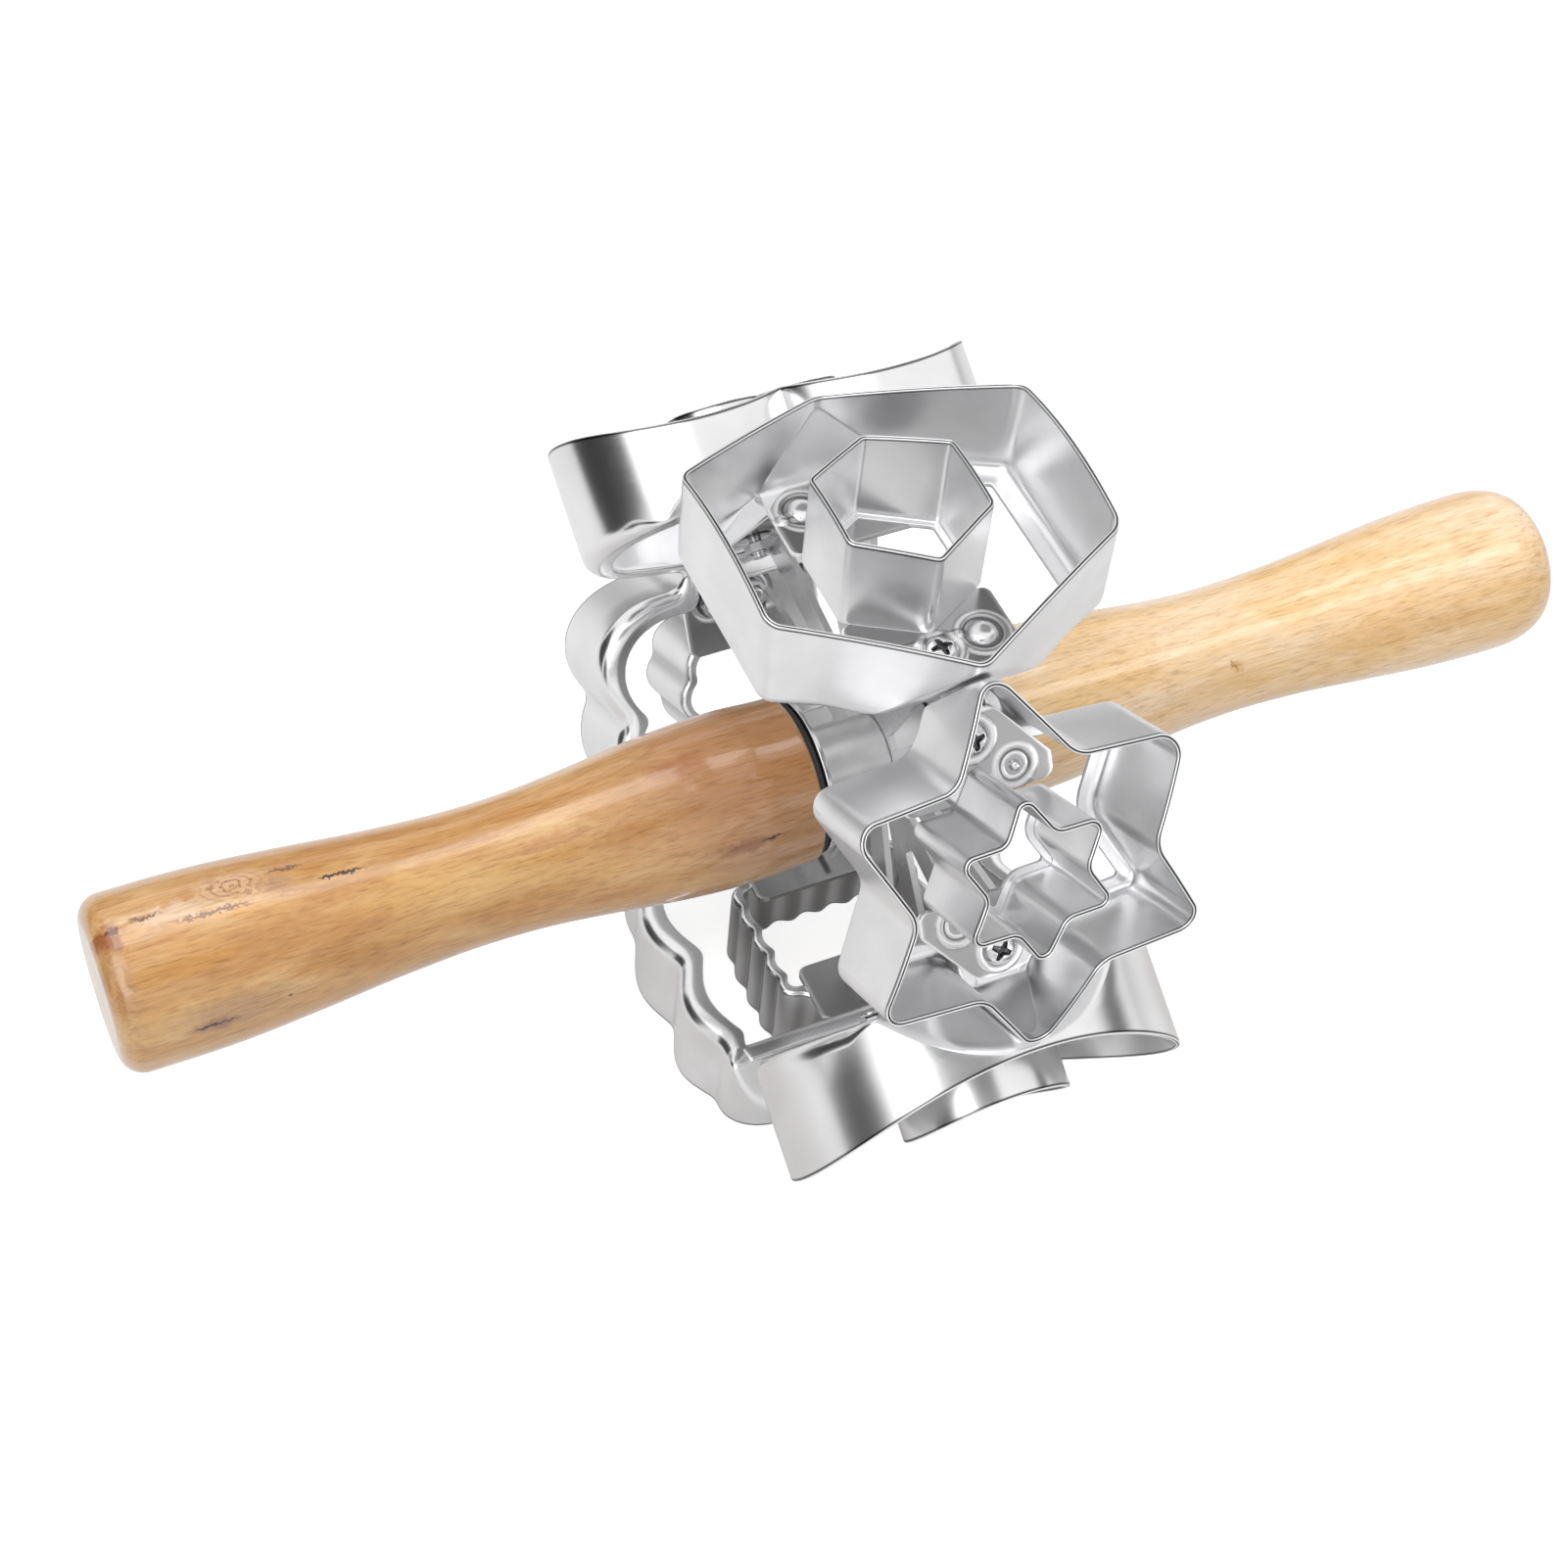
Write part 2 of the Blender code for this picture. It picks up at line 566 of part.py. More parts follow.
def side_label(side):
    return "_front" if side < 0 else "_back"


def screw_place(shape, side):
    reach = HEART_SCREW_REACH if shape == "heart" and side < 0 else SCREW_REACH
    return (0.0, side * reach)


def rivet_place(shape, side):
    """Rivets stand to one side of the screws, on the other side on the hexagon."""
    hand = -side if shape == "hexagon" else side
    if shape == "star":
        return (hand * STAR_RIVET_OFFSET, side * STAR_RIVET_REACH)
    if shape == "hexagon":
        return (hand * RIVET_OFFSET, side * HEXAGON_RIVET_REACH)
    if shape == "heart" and side < 0:
        return (hand * RIVET_OFFSET, side * HEART_RIVET_REACH)
    return (hand * RIVET_OFFSET, side * RIVET_REACH)


def build_ear(shape, side, turn, parent, collection):
    """Flat lug that carries one end of a hole cutter, with holes for its screw and rivet."""
    loops = [ear_outline(shape, side)]
    loops.append(circle_outline(screw_place(shape, side), SCREW_HOLE, HOLE_STEPS))
    loops.append(circle_outline(rivet_place(shape, side), RIVET_HOLE, HOLE_STEPS))
    bm = bmesh.new()
    add_plate(bm, loops, EAR_BOTTOM, EAR_TOP, Matrix.Identity(4))
    name = "ear_" + shape + side_label(side)
    piece = new_object(name, mesh_from(bm, name), "satin_steel", parent, collection)
    piece.rotation_euler = (turn, 0.0, 0.0)


def build_screw(shape, side, turn, parent, collection):
    """Pan head on the ear, with a shank through the foot."""
    low = FOOT_BOTTOM - SCREW_TAIL - EAR_TOP
    high = CLEARANCE + SCREW_HEAD_HEIGHT
    profile = [(0.0, high), (0.72 * SCREW_HEAD_RADIUS, high)]
    profile += [(SCREW_HEAD_RADIUS, CLEARANCE + 0.5 * SCREW_HEAD_HEIGHT), (SCREW_HEAD_RADIUS, CLEARANCE)]
    profile += [(SCREW_SHANK_RADIUS, CLEARANCE), (SCREW_SHANK_RADIUS, low), (0.0, low)]
    name = "screw_" + shape + side_label(side)
    piece = build_turned(name, profile, "satin_steel", parent, collection, False, FASTENER_STEPS)
    set_on_ear(piece, screw_place(shape, side), turn)


def build_rivet(shape, side, turn, parent, collection):
    """Domed head on the ear, with a clenched tail under the foot."""
    high = CLEARANCE + RIVET_HEAD_HEIGHT
    tail = FOOT_BOTTOM - CLEARANCE - EAR_TOP
    low = tail - RIVET_TAIL_HEIGHT
    profile = [(0.0, high), (0.8 * RIVET_HEAD_RADIUS, CLEARANCE + 0.6 * RIVET_HEAD_HEIGHT)]
    profile += [(RIVET_HEAD_RADIUS, CLEARANCE), (RIVET_SHANK_RADIUS, CLEARANCE), (RIVET_SHANK_RADIUS, tail)]
    profile += [(RIVET_TAIL_RADIUS, tail), (RIVET_TAIL_RADIUS, low), (0.0, low)]
    name = "rivet_" + shape + side_label(side)
    piece = build_turned(name, profile, "satin_steel", parent, collection, False, FASTENER_STEPS)
    set_on_ear(piece, rivet_place(shape, side), turn)


def set_on_ear(piece, place, turn):
    """Stand a fastener on the top of an ear, square to the ear."""
    placement = Matrix.Rotation(turn, 4, "X") @ Matrix.Translation((place[0], place[1], EAR_TOP))
    piece.location = placement.to_translation()
    piece.rotation_euler = (turn, 0.0, 0.0)


def spider_arm():
    """One forked arm of the spider, as (y, z) points from one root round to the other."""
    ring = TUBE_RADIUS + CLEARANCE + SPIDER_RING_WIDTH
    root = (ring * math.sin(ARM_ROOT_ANGLE), ring * math.cos(ARM_ROOT_ANGLE))
    half = [root, (PRONG_EDGE, PRONG_TOP), (FORK_OPENING, PRONG_TOP), (FORK_ROOT_HALF_WIDTH, FORK_HEIGHT)]
    return half + [(-y, z) for y, z in reversed(half)]


def build_spider(parent, collection, tools):
    """Star-shaped plate round the hub tube, with a foot welded on under every ear."""
    outline = []
    for index in range(CUTTER_COUNT):
        turn = sector_turn(index)
        for y, z in spider_arm():
            outline.append((y * math.cos(turn) - z * math.sin(turn), y * math.sin(turn) + z * math.cos(turn)))
    bore = (TUBE_RADIUS + CLEARANCE) / math.cos(math.pi / ROUND_STEPS)
    bm = bmesh.new()
    to_wheel = Matrix(((0, 0, 1, 0), (1, 0, 0, 0), (0, 1, 0, 0), (0, 0, 0, 1)))
    loops = [outline, circle_outline((0.0, 0.0), bore, ROUND_STEPS)]
    add_plate(bm, loops, SPIDER_LEFT_X, SPIDER_FACE_X, to_wheel)
    spider = new_object("hub_spider", mesh_from(bm, "hub_spider"), "satin_steel", parent, collection)

    feet = bmesh.new()
    for index, shape in enumerate(SHAPES):
        placement = Matrix.Rotation(sector_turn(index), 4, "X")
        for side in (-1, 1):
            screw, rivet = screw_place(shape, side), rivet_place(shape, side)
            sheet = capsule_outline(screw, rivet, FOOT_RADIUS, 4)
            holes = [circle_outline(screw, SCREW_HOLE, HOLE_STEPS), circle_outline(rivet, RIVET_HOLE, HOLE_STEPS)]
            add_plate(feet, [sheet] + holes, FOOT_BOTTOM, FOOT_TOP, placement)
    feet_tool = new_object("spider_feet", mesh_from(feet, "spider_feet"), "satin_steel", None, tools)
    feet_tool.hide_render = True
    feet_tool.display_type = "WIRE"
    join = spider.modifiers.new("feet", "BOOLEAN")
    join.operation = "UNION"
    join.solver = "EXACT"
    join.object = feet_tool


def build_turned(name, profile, finish, parent, collection, hollow, steps=ROUND_STEPS):
    """Piece from a profile of (radius, height) points that run down its outer side."""
    bm = bmesh.new()
    points = [bm.verts.new((radius, 0.0, height)) for radius, height in profile]
    for first, second in zip(points, points[1:]):
        bm.edges.new((first, second))
    if hollow:
        bm.edges.new((points[-1], points[0]))
    piece = new_object(name, mesh_from(bm, name), finish, parent, collection)
    add_turning(piece, steps)
    return piece


def build_on_axle(name, profile, finish, parent, collection, hollow, side=1):
    """Turned piece laid along the axle, with its heights measured from the wheel's centre."""
    piece = build_turned(name, profile, finish, parent, collection, hollow)
    piece.rotation_euler = (0.0, side * math.pi / 2, 0.0)


def ring_profile(inner, outer, start, end):
    return [(inner, end), (outer, end), (outer, start), (inner, start)]


def handle_profile():
    """Profile of a turned handle with its blind bore, from its outer end inwards."""
    stations = [
        (HANDLE_INNER_EDGE, HANDLE_INNER_RADIUS),
        (HANDLE_INNER_BULGE_AT, HANDLE_INNER_BULGE),
        (HANDLE_WAIST_AT, HANDLE_WAIST_RADIUS),
        (HANDLE_OUTER_BULGE_AT, HANDLE_OUTER_BULGE),
    ]
    profile = [(HANDLE_INNER_RADIUS - HANDLE_INNER_EDGE, 0.0)]
    for (start, first), (end, last), steps in zip(stations, stations[1:], (1, 5, 5)):
        for step in range(steps):
            share = step / steps
            ease = (1 - math.cos(math.pi * share)) / 2
            profile.append((first + (last - first) * ease, start + (end - start) * share))
    rounding = HANDLE_END_ROUNDING
    for step in range(4):
        angle = math.pi / 2 * step / 3
        radius = HANDLE_OUTER_BULGE - rounding * (1 - math.cos(angle))
        profile.append((radius, HANDLE_LENGTH - rounding * (1 - math.sin(angle))))
    placed = [(radius, HANDLE_START + along) for radius, along in profile]
    end = (0.0, HANDLE_START + HANDLE_LENGTH)
    bore = [(ROD_BORE, HANDLE_START), (ROD_BORE, HANDLE_START + BORE_DEPTH), (0.0, HANDLE_START + BORE_DEPTH)]
    return [end] + placed[::-1] + bore


def build_handles(parent, collection):
    """Axle rod, washers and the two wooden handles."""
    end = HANDLE_START + ROD_DEPTH
    bevel = 0.6 * MM
    rod = [(0.0, end), (ROD_RADIUS - bevel, end), (ROD_RADIUS, end - bevel)]
    rod += [(radius, -height) for radius, height in reversed(rod)]
    build_on_axle("axle_rod", rod, "satin_steel", parent, collection, False)
    washer = ring_profile(ROD_BORE, FACE_WASHER_RADIUS, FACE_WASHER_START, FACE_WASHER_START + FACE_WASHER_THICKNESS)
    cushion = ring_profile(ROD_BORE, CUSHION_RADIUS, CUSHION_START, CUSHION_START + CUSHION_THICKNESS)
    for label, side, wood in (("left", -1, "amber_wood"), ("right", 1, "cream_wood")):
        build_on_axle("steel_washer_" + label, washer, "bright_steel", parent, collection, True, side)
        build_on_axle("cushion_washer_" + label, cushion, "dark_rubber", parent, collection, True, side)
        build_on_axle("wood_handle_" + label, handle_profile(), wood, parent, collection, False, side)


def build_hub(parent, collection):
    """Tube that turns on the axle rod, with a bush in each end."""
    tube = ring_profile(TUBE_BORE, TUBE_RADIUS, -TUBE_END, TUBE_END)
    build_on_axle("hub_tube", tube, "bright_steel", parent, collection, True)
    bush_end = TUBE_END - CLEARANCE
    bush = ring_profile(ROD_BORE, TUBE_BORE - CLEARANCE, bush_end - BUSH_LENGTH, bush_end)
    for label, side in (("left", -1), ("right", 1)):
        build_on_axle("bush_" + label, bush, "bush_nylon", parent, collection, True, side)


def new_empty(name, parent, collection):
    """Empty at the wheel's centre that carries the pieces of one body."""
    empty = bpy.data.objects.new(name, None)
    empty.empty_display_size = 0.02
    collection.objects.link(empty)
    empty.parent = parent
    return empty


def build():
    clear_scene()
    parts = new_collection("doughnut_cutter_roller")
    tools = new_collection("joining_tools")
    handles = new_empty("handles_body", None, parts)
    wheel = new_empty("wheel_body", handles, parts)
    build_handles(handles, parts)
    build_hub(wheel, parts)
    build_spider(wheel, parts, tools)
    for index, shape in enumerate(SHAPES):
        turn = sector_turn(index)
        build_outer_cutter(shape, turn, wheel, parts)
        build_hole_cutter(shape, turn, wheel, parts)
        for side in (-1, 1):
            build_ear(shape, side, turn, wheel, parts)
            build_screw(shape, side, turn, wheel, parts)
            build_rivet(shape, side, turn, wheel, parts)


build()
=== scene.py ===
"""Looks of the six-in-one doughnut cutter roller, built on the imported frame.

Lengths are metres. A cutter is drawn flat first: x along the axle, y across the wheel and z the
distance from the axle. It is then turned about the axle to its place. Every surface is worked out
as whole numpy arrays, as rows of points that run round an outline or round an axis.
"""

import math

import bpy
import numpy as np
from mathutils import Matrix

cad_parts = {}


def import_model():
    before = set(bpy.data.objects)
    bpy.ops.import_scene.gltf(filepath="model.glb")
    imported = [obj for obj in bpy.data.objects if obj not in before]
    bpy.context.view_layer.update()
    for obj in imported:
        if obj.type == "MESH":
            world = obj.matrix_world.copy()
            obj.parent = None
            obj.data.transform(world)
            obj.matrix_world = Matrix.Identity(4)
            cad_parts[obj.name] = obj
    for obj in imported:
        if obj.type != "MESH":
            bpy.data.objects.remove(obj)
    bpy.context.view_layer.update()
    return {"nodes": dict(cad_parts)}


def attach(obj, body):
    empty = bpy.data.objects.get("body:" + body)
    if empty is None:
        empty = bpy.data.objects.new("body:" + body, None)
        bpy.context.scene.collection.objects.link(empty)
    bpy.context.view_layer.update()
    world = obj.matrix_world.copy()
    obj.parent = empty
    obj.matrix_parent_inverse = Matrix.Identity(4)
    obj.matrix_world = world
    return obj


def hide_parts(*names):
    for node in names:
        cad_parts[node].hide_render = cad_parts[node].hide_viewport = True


MM = 0.001
SIXTH_TURN = math.pi / 3
QUARTER_TURN = math.pi / 2
SHAPES = ("hexagon", "star", "round", "square", "flower", "heart")

# Cutters
EDGE_RADIUS = 65.0 * MM
BASE = 43.5 * MM
SHEET = 0.8 * MM
MITRE_GAP = 0.2 * MM
CREASE = (BASE * 0.5 - MITRE_GAP) / math.cos(SIXTH_TURN / 2)
CREASE_ROUND = 0.5 * MM
CREASE_FLANGE = 3.5 * MM
OPENING_END = CREASE - CREASE_FLANGE
FLANGES = {"hexagon": 5.0 * MM, "star": 3.5 * MM, "round": 5.0 * MM,
           "square": 5.0 * MM, "flower": 5.0 * MM, "heart": 4.6 * MM}
OUTER_FOLD_SHARE = 0.8
OUTER_BEND = 3.4 * MM
OUTER_BEND_SHARE = 0.62
OUTER_STEPS = 620
HOLE_BASE = 45.9 * MM
HOLE_FLANGE = 2.0 * MM
HOLE_FOLD_SHARE = 0.75
HOLE_BEND = 1.0 * MM
HOLE_STEPS = 300
# Strength of the painted shade in the valleys between a hole cutter's flutes
FLUTE_PAINTED_SHADE = {"square": 0.54, "flower": 0.42}
FLUTE_REACH = 8

# Least corner radius of an inset outline, points in each corner's arc, and softening of lobed outlines
LEAST_ROUNDING = 0.6 * MM
ARC_STEPS = 14
SCALLOP_SOFTENING = 5
PETAL_SOFTENING = 7

# Section of a cutter's sheet
LIP = 0.25 * MM
RIM_HEIGHT = 0.8 * MM
HEADROOM = 0.3 * MM
BEND_SHARE = 0.42
CRISP_REACH = 4.0 * MM
CRISP_SHARE = 0.72
WALL_SHARES = (0.33, 0.66, 1.0)
# Rim points as (distance across the sheet, drop below the edge, painted light of the hem): above 0 is painted
# shade, in the groove and just under the rim outside, and below 0 is a painted highlight on the lips
RIM = ((0.00, 0.62, 0.2), (0.00, 0.50, 0.95), (0.00, 0.26, 0.95), (0.03, 0.13, -0.8), (0.10, 0.03, -1.0),
       (0.19, 0.00, -1.0), (0.26, 0.05, -0.8), (0.29, 0.16, 1.0), (0.41, 0.42, 1.0), (0.53, 0.16, 1.0),
       (0.56, 0.05, -0.8), (0.63, 0.00, -1.0), (0.71, 0.03, -1.0), (0.77, 0.13, -0.8), (0.80, 0.26, 0.9),
       (0.80, 0.42, 0.9), (0.80, 0.52, 0.1))

# Ears, screws and rivets
EAR_GRID = (91, 61)
EAR_TOP = 45.6 * MM
EAR_INNER_END = 8.3 * MM
EAR_OUTER_END = 22.98 * MM
EAR_HALF_WIDTH = 13.2 * MM
EAR_CORNER = 1.6 * MM
EAR_GAUGE = 1.0 * MM
EAR_NOTCH = 16.4 * MM
EAR_NOTCH_WIDTH = 6.2 * MM
RIB_REACH = 16.2 * MM
RIB_HEIGHT = 0.45 * MM
RIB_WIDTH = 0.55 * MM
RIB_SHIFT = 4.0 * MM
RIB_HALF_LENGTH = 9.5 * MM
RIB_END = 1.5 * MM
SEAT = EAR_TOP + 0.05 * MM
HEAD_RADIUS = 2.9 * MM
RIVET_RADIUS = 2.7 * MM
DOME_RIVET_RADIUS = 3.35 * MM

# Shank and thread of a screw and top of its head, and top of a rivet, in millimetres
SHANK_RADIUS, THREAD_DEPTH, THREAD_PITCH = 1.22, 0.10, 0.5
SHANK_END, SCREW_TOP, RIVET_TOP = 41.8, 47.9, 47.6
HEAD_RIM = 0.75
HEAD_ROUNDING = 0.12
HEAD_POWER = 2.6
# Cross recess: depth, radius of its middle, and length, half width and taper of a slot
RECESS_DEPTH = 1.15 * MM
RECESS_MIDDLE = 0.95 * MM
SLOT_REACH = 1.95 * MM
SLOT_HALF_WIDTH = 0.62 * MM
SLOT_TAPER = 0.16

# Handles: where they start on the axle, and then in millimetres the length, the rounding of the
# inner edge, the depth of the rounding at the outer end, and the radius at distances from the inner end
HANDLE_START = 14.0 * MM
HANDLE_LENGTH = 120.5
HANDLE_INNER_EDGE = 0.8
HANDLE_END_DEPTH = 4.0
HANDLE_STATIONS = ((0.8, 14.6), (11.0, 15.0), (56.0, 11.6), (110.0, 14.9), (121.0, 14.9))

CAMERA_PLACE = (-0.16533, -0.27196, 0.37713)
CAMERA_TURN = (39.2505, -3.8852, -24.1448)
CAMERA_LENS = 65.569

# Wood marks as (kind, along the axle, degrees about it from the top towards the front, half length
# along, half length around, colour, strength), in millimetres
UNROLLED_RADIUS = 14.5 * MM
MOST_SWAY = 3.0
AMBER_MARKS = [
    ("stain", -24.0, 20.0, 34.0, 26.0, (0.46, 0.21, 0.08), 0.90),
    ("stain", -20.0, 75.0, 22.0, 12.0, (0.48, 0.27, 0.14), 0.72),
    ("stain", -47.0, 40.0, 9.0, 5.0, (0.50, 0.23, 0.07), 0.66),
    ("stain", -60.6, 28.0, 9.0, 2.2, (0.50, 0.21, 0.06), 0.60),
    ("stain", -74.0, 8.0, 14.0, 1.6, (0.52, 0.25, 0.08), 0.72),
    ("stain", -85.0, 30.0, 16.0, 5.0, (0.72, 0.42, 0.13), 0.54),
    ("stain", -70.0, 50.0, 18.0, 6.0, (0.74, 0.46, 0.17), 0.54),
    ("stain", -120.0, 30.0, 9.0, 5.0, (0.62, 0.31, 0.09), 0.72),
    ("stain", -116.0, 76.0, 13.0, 5.0, (0.50, 0.29, 0.15), 0.78),
    ("stain", -121.0, 2.0, 9.0, 2.6, (0.78, 0.55, 0.36), 0.84),
    ("stain", -110.6, 14.0, 7.0, 1.3, (0.66, 0.33, 0.07), 0.90),
    ("stain", -131.8, 6.0, 3.6, 4.2, (0.33, 0.10, 0.025), 0.97),
    ("stain", -132.0, 40.0, 3.0, 12.0, (0.50, 0.28, 0.13), 0.54),
    ("stain", -111.3, -6.0, 8.5, 5.0, (0.74, 0.48, 0.27), 0.78),
    ("knot", -111.3, -6.0, 7.0, 4.4, (0.33, 0.14, 0.05), 0.90),
    ("stain", -104.5, 2.0, 4.0, 2.6, (0.46, 0.26, 0.16), 0.66),
    ("stain", -36.5, 4.0, 8.0, 2.4, (0.42, 0.15, 0.04), 0.72),
    ("stain", -28.5, 71.0, 8.0, 1.5, (0.28, 0.10, 0.04), 0.78),
    ("stain", -119.6, 81.0, 6.5, 1.6, (0.34, 0.16, 0.08), 0.78),
    ("crack", -94.0, 6.0, 4.6, 0.50, (0.045, 0.02, 0.015), 0.97),
    ("crack", -96.4, 5.6, 1.6, 0.60, (0.03, 0.015, 0.012), 0.97),
    ("crack", -119.6, 81.0, 4.4, 0.34, (0.05, 0.018, 0.012), 0.97),
    ("crack", -24.2, 70.0, 2.6, 0.30, (0.05, 0.018, 0.010), 0.97),
    ("crack", -125.4, 0.0, 3.2, 0.70, (0.20, 0.11, 0.08), 0.90),
    ("crack", -115.5, 10.0, 7.5, 0.55, (0.20, 0.07, 0.02), 0.84),
    ("crack", -102.5, -10.0, 3.6, 0.40, (0.18, 0.08, 0.05), 0.96),
    ("crack", -131.0, 3.0, 1.7, 0.60, (0.10, 0.03, 0.015), 0.96),
    ("crack", -107.4, 78.0, 0.5, 0.35, (0.12, 0.05, 0.03), 0.96),
]
CREAM_MARKS = [
    ("stain", 95.0, 62.0, 22.0, 4.5, (0.80, 0.46, 0.15), 0.55),
    ("stain", 112.0, 66.0, 9.0, 4.0, (0.74, 0.41, 0.12), 0.50),
    ("stain", 62.0, 70.0, 16.0, 4.0, (0.82, 0.52, 0.22), 0.40),
    ("stain", 67.4, 55.0, 2.2, 1.6, (0.72, 0.40, 0.12), 0.65),
    ("crack", 67.4, 56.0, 0.7, 1.3, (0.45, 0.19, 0.04), 0.75),
]


# Meshes

def make_object(name, points, faces, material, smooth=True):
    """Mesh object at the origin from an array of points and a list of face arrays."""
    mesh = bpy.data.meshes.new(name)
    flat = [np.asarray(group, dtype=np.int32) for group in faces]
    sizes = np.concatenate([np.full(len(group), group.shape[1], dtype=np.int32) for group in flat])
    corners = np.concatenate([group.ravel() for group in flat])
    mesh.vertices.add(len(points))
    mesh.vertices.foreach_set("co", np.asarray(points, dtype=np.float32).ravel())
    mesh.loops.add(len(corners))
    mesh.loops.foreach_set("vertex_index", corners)
    mesh.polygons.add(len(sizes))
    starts = np.concatenate([[0], np.cumsum(sizes)[:-1]]).astype(np.int32)
    mesh.polygons.foreach_set("loop_start", starts)
    mesh.update(calc_edges=True)
    mesh.validate()
    if smooth:
        mesh.shade_smooth()
    mesh.materials.append(material)
    piece = bpy.data.objects.new(name, mesh)
    bpy.context.scene.collection.objects.link(piece)
    return piece


def stand_for(piece, body, node):
    """Let a piece take a node's place on its body, and hide the node."""
    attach(piece, body)
    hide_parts(node)


def grid_faces(rows, columns, close_rows, close_columns):
    """Quads of a grid of points, wrapped round in either direction where it is closed."""
    row = np.arange(rows if close_rows else rows - 1)
    column = np.arange(columns if close_columns else columns - 1)
    r, c = np.meshgrid(row, column, indexing="ij")
    r2, c2 = (r + 1) % rows, (c + 1) % columns
    corners = [r * columns + c, r * columns + c2, r2 * columns + c2, r2 * columns + c]
    return np.stack(corners, axis=-1).reshape(-1, 4)


def fan_faces(ring_start, columns, pole, flip):
    """Triangles from a closed ring of points to one pole."""
    ring = ring_start + np.arange(columns)
    fan = [ring, np.roll(ring, -1), np.full(columns, pole)]
    if flip:
        fan = [fan[1], fan[0], fan[2]]
    return np.stack(fan, axis=-1)


def turn_about_axle(points, index):
    """Turn flat-drawn points about the axle, by a sixth of a turn for each place on the wheel."""
    c, s = math.cos(SIXTH_TURN * index), math.sin(SIXTH_TURN * index)
    return points @ np.array([[1, 0, 0], [0, c, s], [0, -s, c]])


def store_sheet(piece, grid, along, across, shade):
    """Keep each point's distance along and across the sheet, and its painted shade or highlight.

    A shade above 0 is painted shade, dark as in a groove or a valley, and one below 0 is a painted highlight,
    bright as on a lip.
    """
    layer = piece.data.attributes.new("sheet", "FLOAT_VECTOR", "POINT")
    values = np.zeros((len(piece.data.vertices), 3), dtype=np.float32)
    for axis, value in enumerate((along, across, shade)):
        values[:grid[0] * grid[1], axis] = np.broadcast_to(value, grid).ravel()
    layer.data.foreach_set("vector", values.ravel())


def smooth_step(value):
    """Eased step from 0 to 1: the square of the value times three less twice the value."""
    value = np.clip(value, 0.0, 1.0)
    return value * value * (3 - 2 * value)


def bell(distance, middle, width):
    """Bell curve: e to the power of minus the square of the distance from the middle over the width."""
    return np.exp(-((distance - middle) / width) ** 2)


def arc(centre, radii, first, last, steps):
    """Part of an ellipse: the centre plus the radii times the cosine and the sine of the angle."""
    angle = np.linspace(first, last, steps)
    return np.stack([centre[0] + radii[0] * np.cos(angle), centre[1] + radii[1] * np.sin(angle)], axis=-1)


def unit(vectors):
    """Vectors, one or a row each, over their own length."""
    vectors = np.asarray(vectors, dtype=float)
    return vectors / np.linalg.norm(vectors, axis=-1, keepdims=True)


def full_circle(steps):
    """Angles at even steps once round."""
    return np.linspace(0, 2 * math.pi, steps, endpoint=False)


# Outlines: arrays of (x, y) that run anticlockwise seen from outside the wheel

def left_of(vectors):
    """Rows of (x, y) turned a quarter to the left: minus y, and x."""
    return np.stack([-vectors[:, 1], vectors[:, 0]], axis=-1)


def rounded_corners(corners):
    """Each corner (x, y, radius) becomes an arc tangent to both of its sides.

    Its centre lies on the corner's halving line, at the radius over the sine of half the corner's
    angle. It meets each side at the radius over the tangent of that half angle.
    """
    points = []
    data = np.array(corners, dtype=float)
    for index in range(len(data)):
        corner, radius = data[index, :2], data[index, 2]
        back = unit(data[index - 1, :2] - corner)
        ahead = unit(data[(index + 1) % len(data), :2] - corner)
        half = 0.5 * math.acos(np.clip(back @ ahead, -1, 1))
        centre = corner + unit(back + ahead) * radius / math.sin(half)
        first = corner + back * radius / math.tan(half) - centre
        last = corner + ahead * radius / math.tan(half) - centre
        start = math.atan2(first[1], first[0])
        sweep = (math.atan2(last[1], last[0]) - start + math.pi) % (2 * math.pi) - math.pi
        points.append(arc(centre, (radius, radius), start, start + sweep, ARC_STEPS))
    return np.concatenate(points)


def inset_sides(corners, inset):
    """Move straight sides inwards by the inset, with each corner's arc kept concentric.

    A corner moves along the mean of its sides' normals, far enough to move both sides by the inset.
    Its radius shrinks by the inset where the outline turns left, and grows by it where it turns right.
    """
    data = np.array(corners, dtype=float)
    place = data[:, :2]
    first = unit(place - np.roll(place, 1, axis=0))
    second = unit(np.roll(place, -1, axis=0) - place)
    middle = unit(left_of(first) + left_of(second))
    reach = inset / np.sum(middle * left_of(first), axis=1, keepdims=True)
    turn = first[:, 0] * second[:, 1] - first[:, 1] * second[:, 0]
    shrunk = np.maximum(data[:, 2] - inset, np.minimum(data[:, 2], LEAST_ROUNDING))
    radius = np.where(turn > 0, shrunk, data[:, 2] + inset)
    return np.concatenate([place + middle * reach, radius[:, None]], axis=1)


def hexagon(width, side, reach, rounding, inset):
    """Two sides along y at half the width either way, and four that meet in points at the reach."""
    half, low = width / 2, side / 2
    corners = [(half, -low), (half, low), (0, reach), (-half, low), (-half, -low), (0, -reach)]
    return rounded_corners(inset_sides([(x, y, rounding) for x, y in corners], inset))


def star(reach, valley, rounding, dip_rounding, inset):
    """Six tips at the reach and six dips at the valley's distance, a twelfth of a turn apart.

    The unrounded tip lies further out than the reach, by its radius times one over the sine of half
    the tip's angle less one, so that its arc ends at the reach.
    """
    half_tip = math.atan2(valley * 0.5, reach - valley * math.cos(SIXTH_TURN / 2))
    sharp = reach + rounding * (1 / math.sin(half_tip) - 1)
    corners = []
    for tip in QUARTER_TURN + SIXTH_TURN * np.arange(6):
        dip = tip + SIXTH_TURN / 2
        corners.append((sharp * math.cos(tip), sharp * math.sin(tip), rounding))
        corners.append((valley * math.cos(dip), valley * math.sin(dip), dip_rounding))
    return rounded_corners(inset_sides(corners, inset))


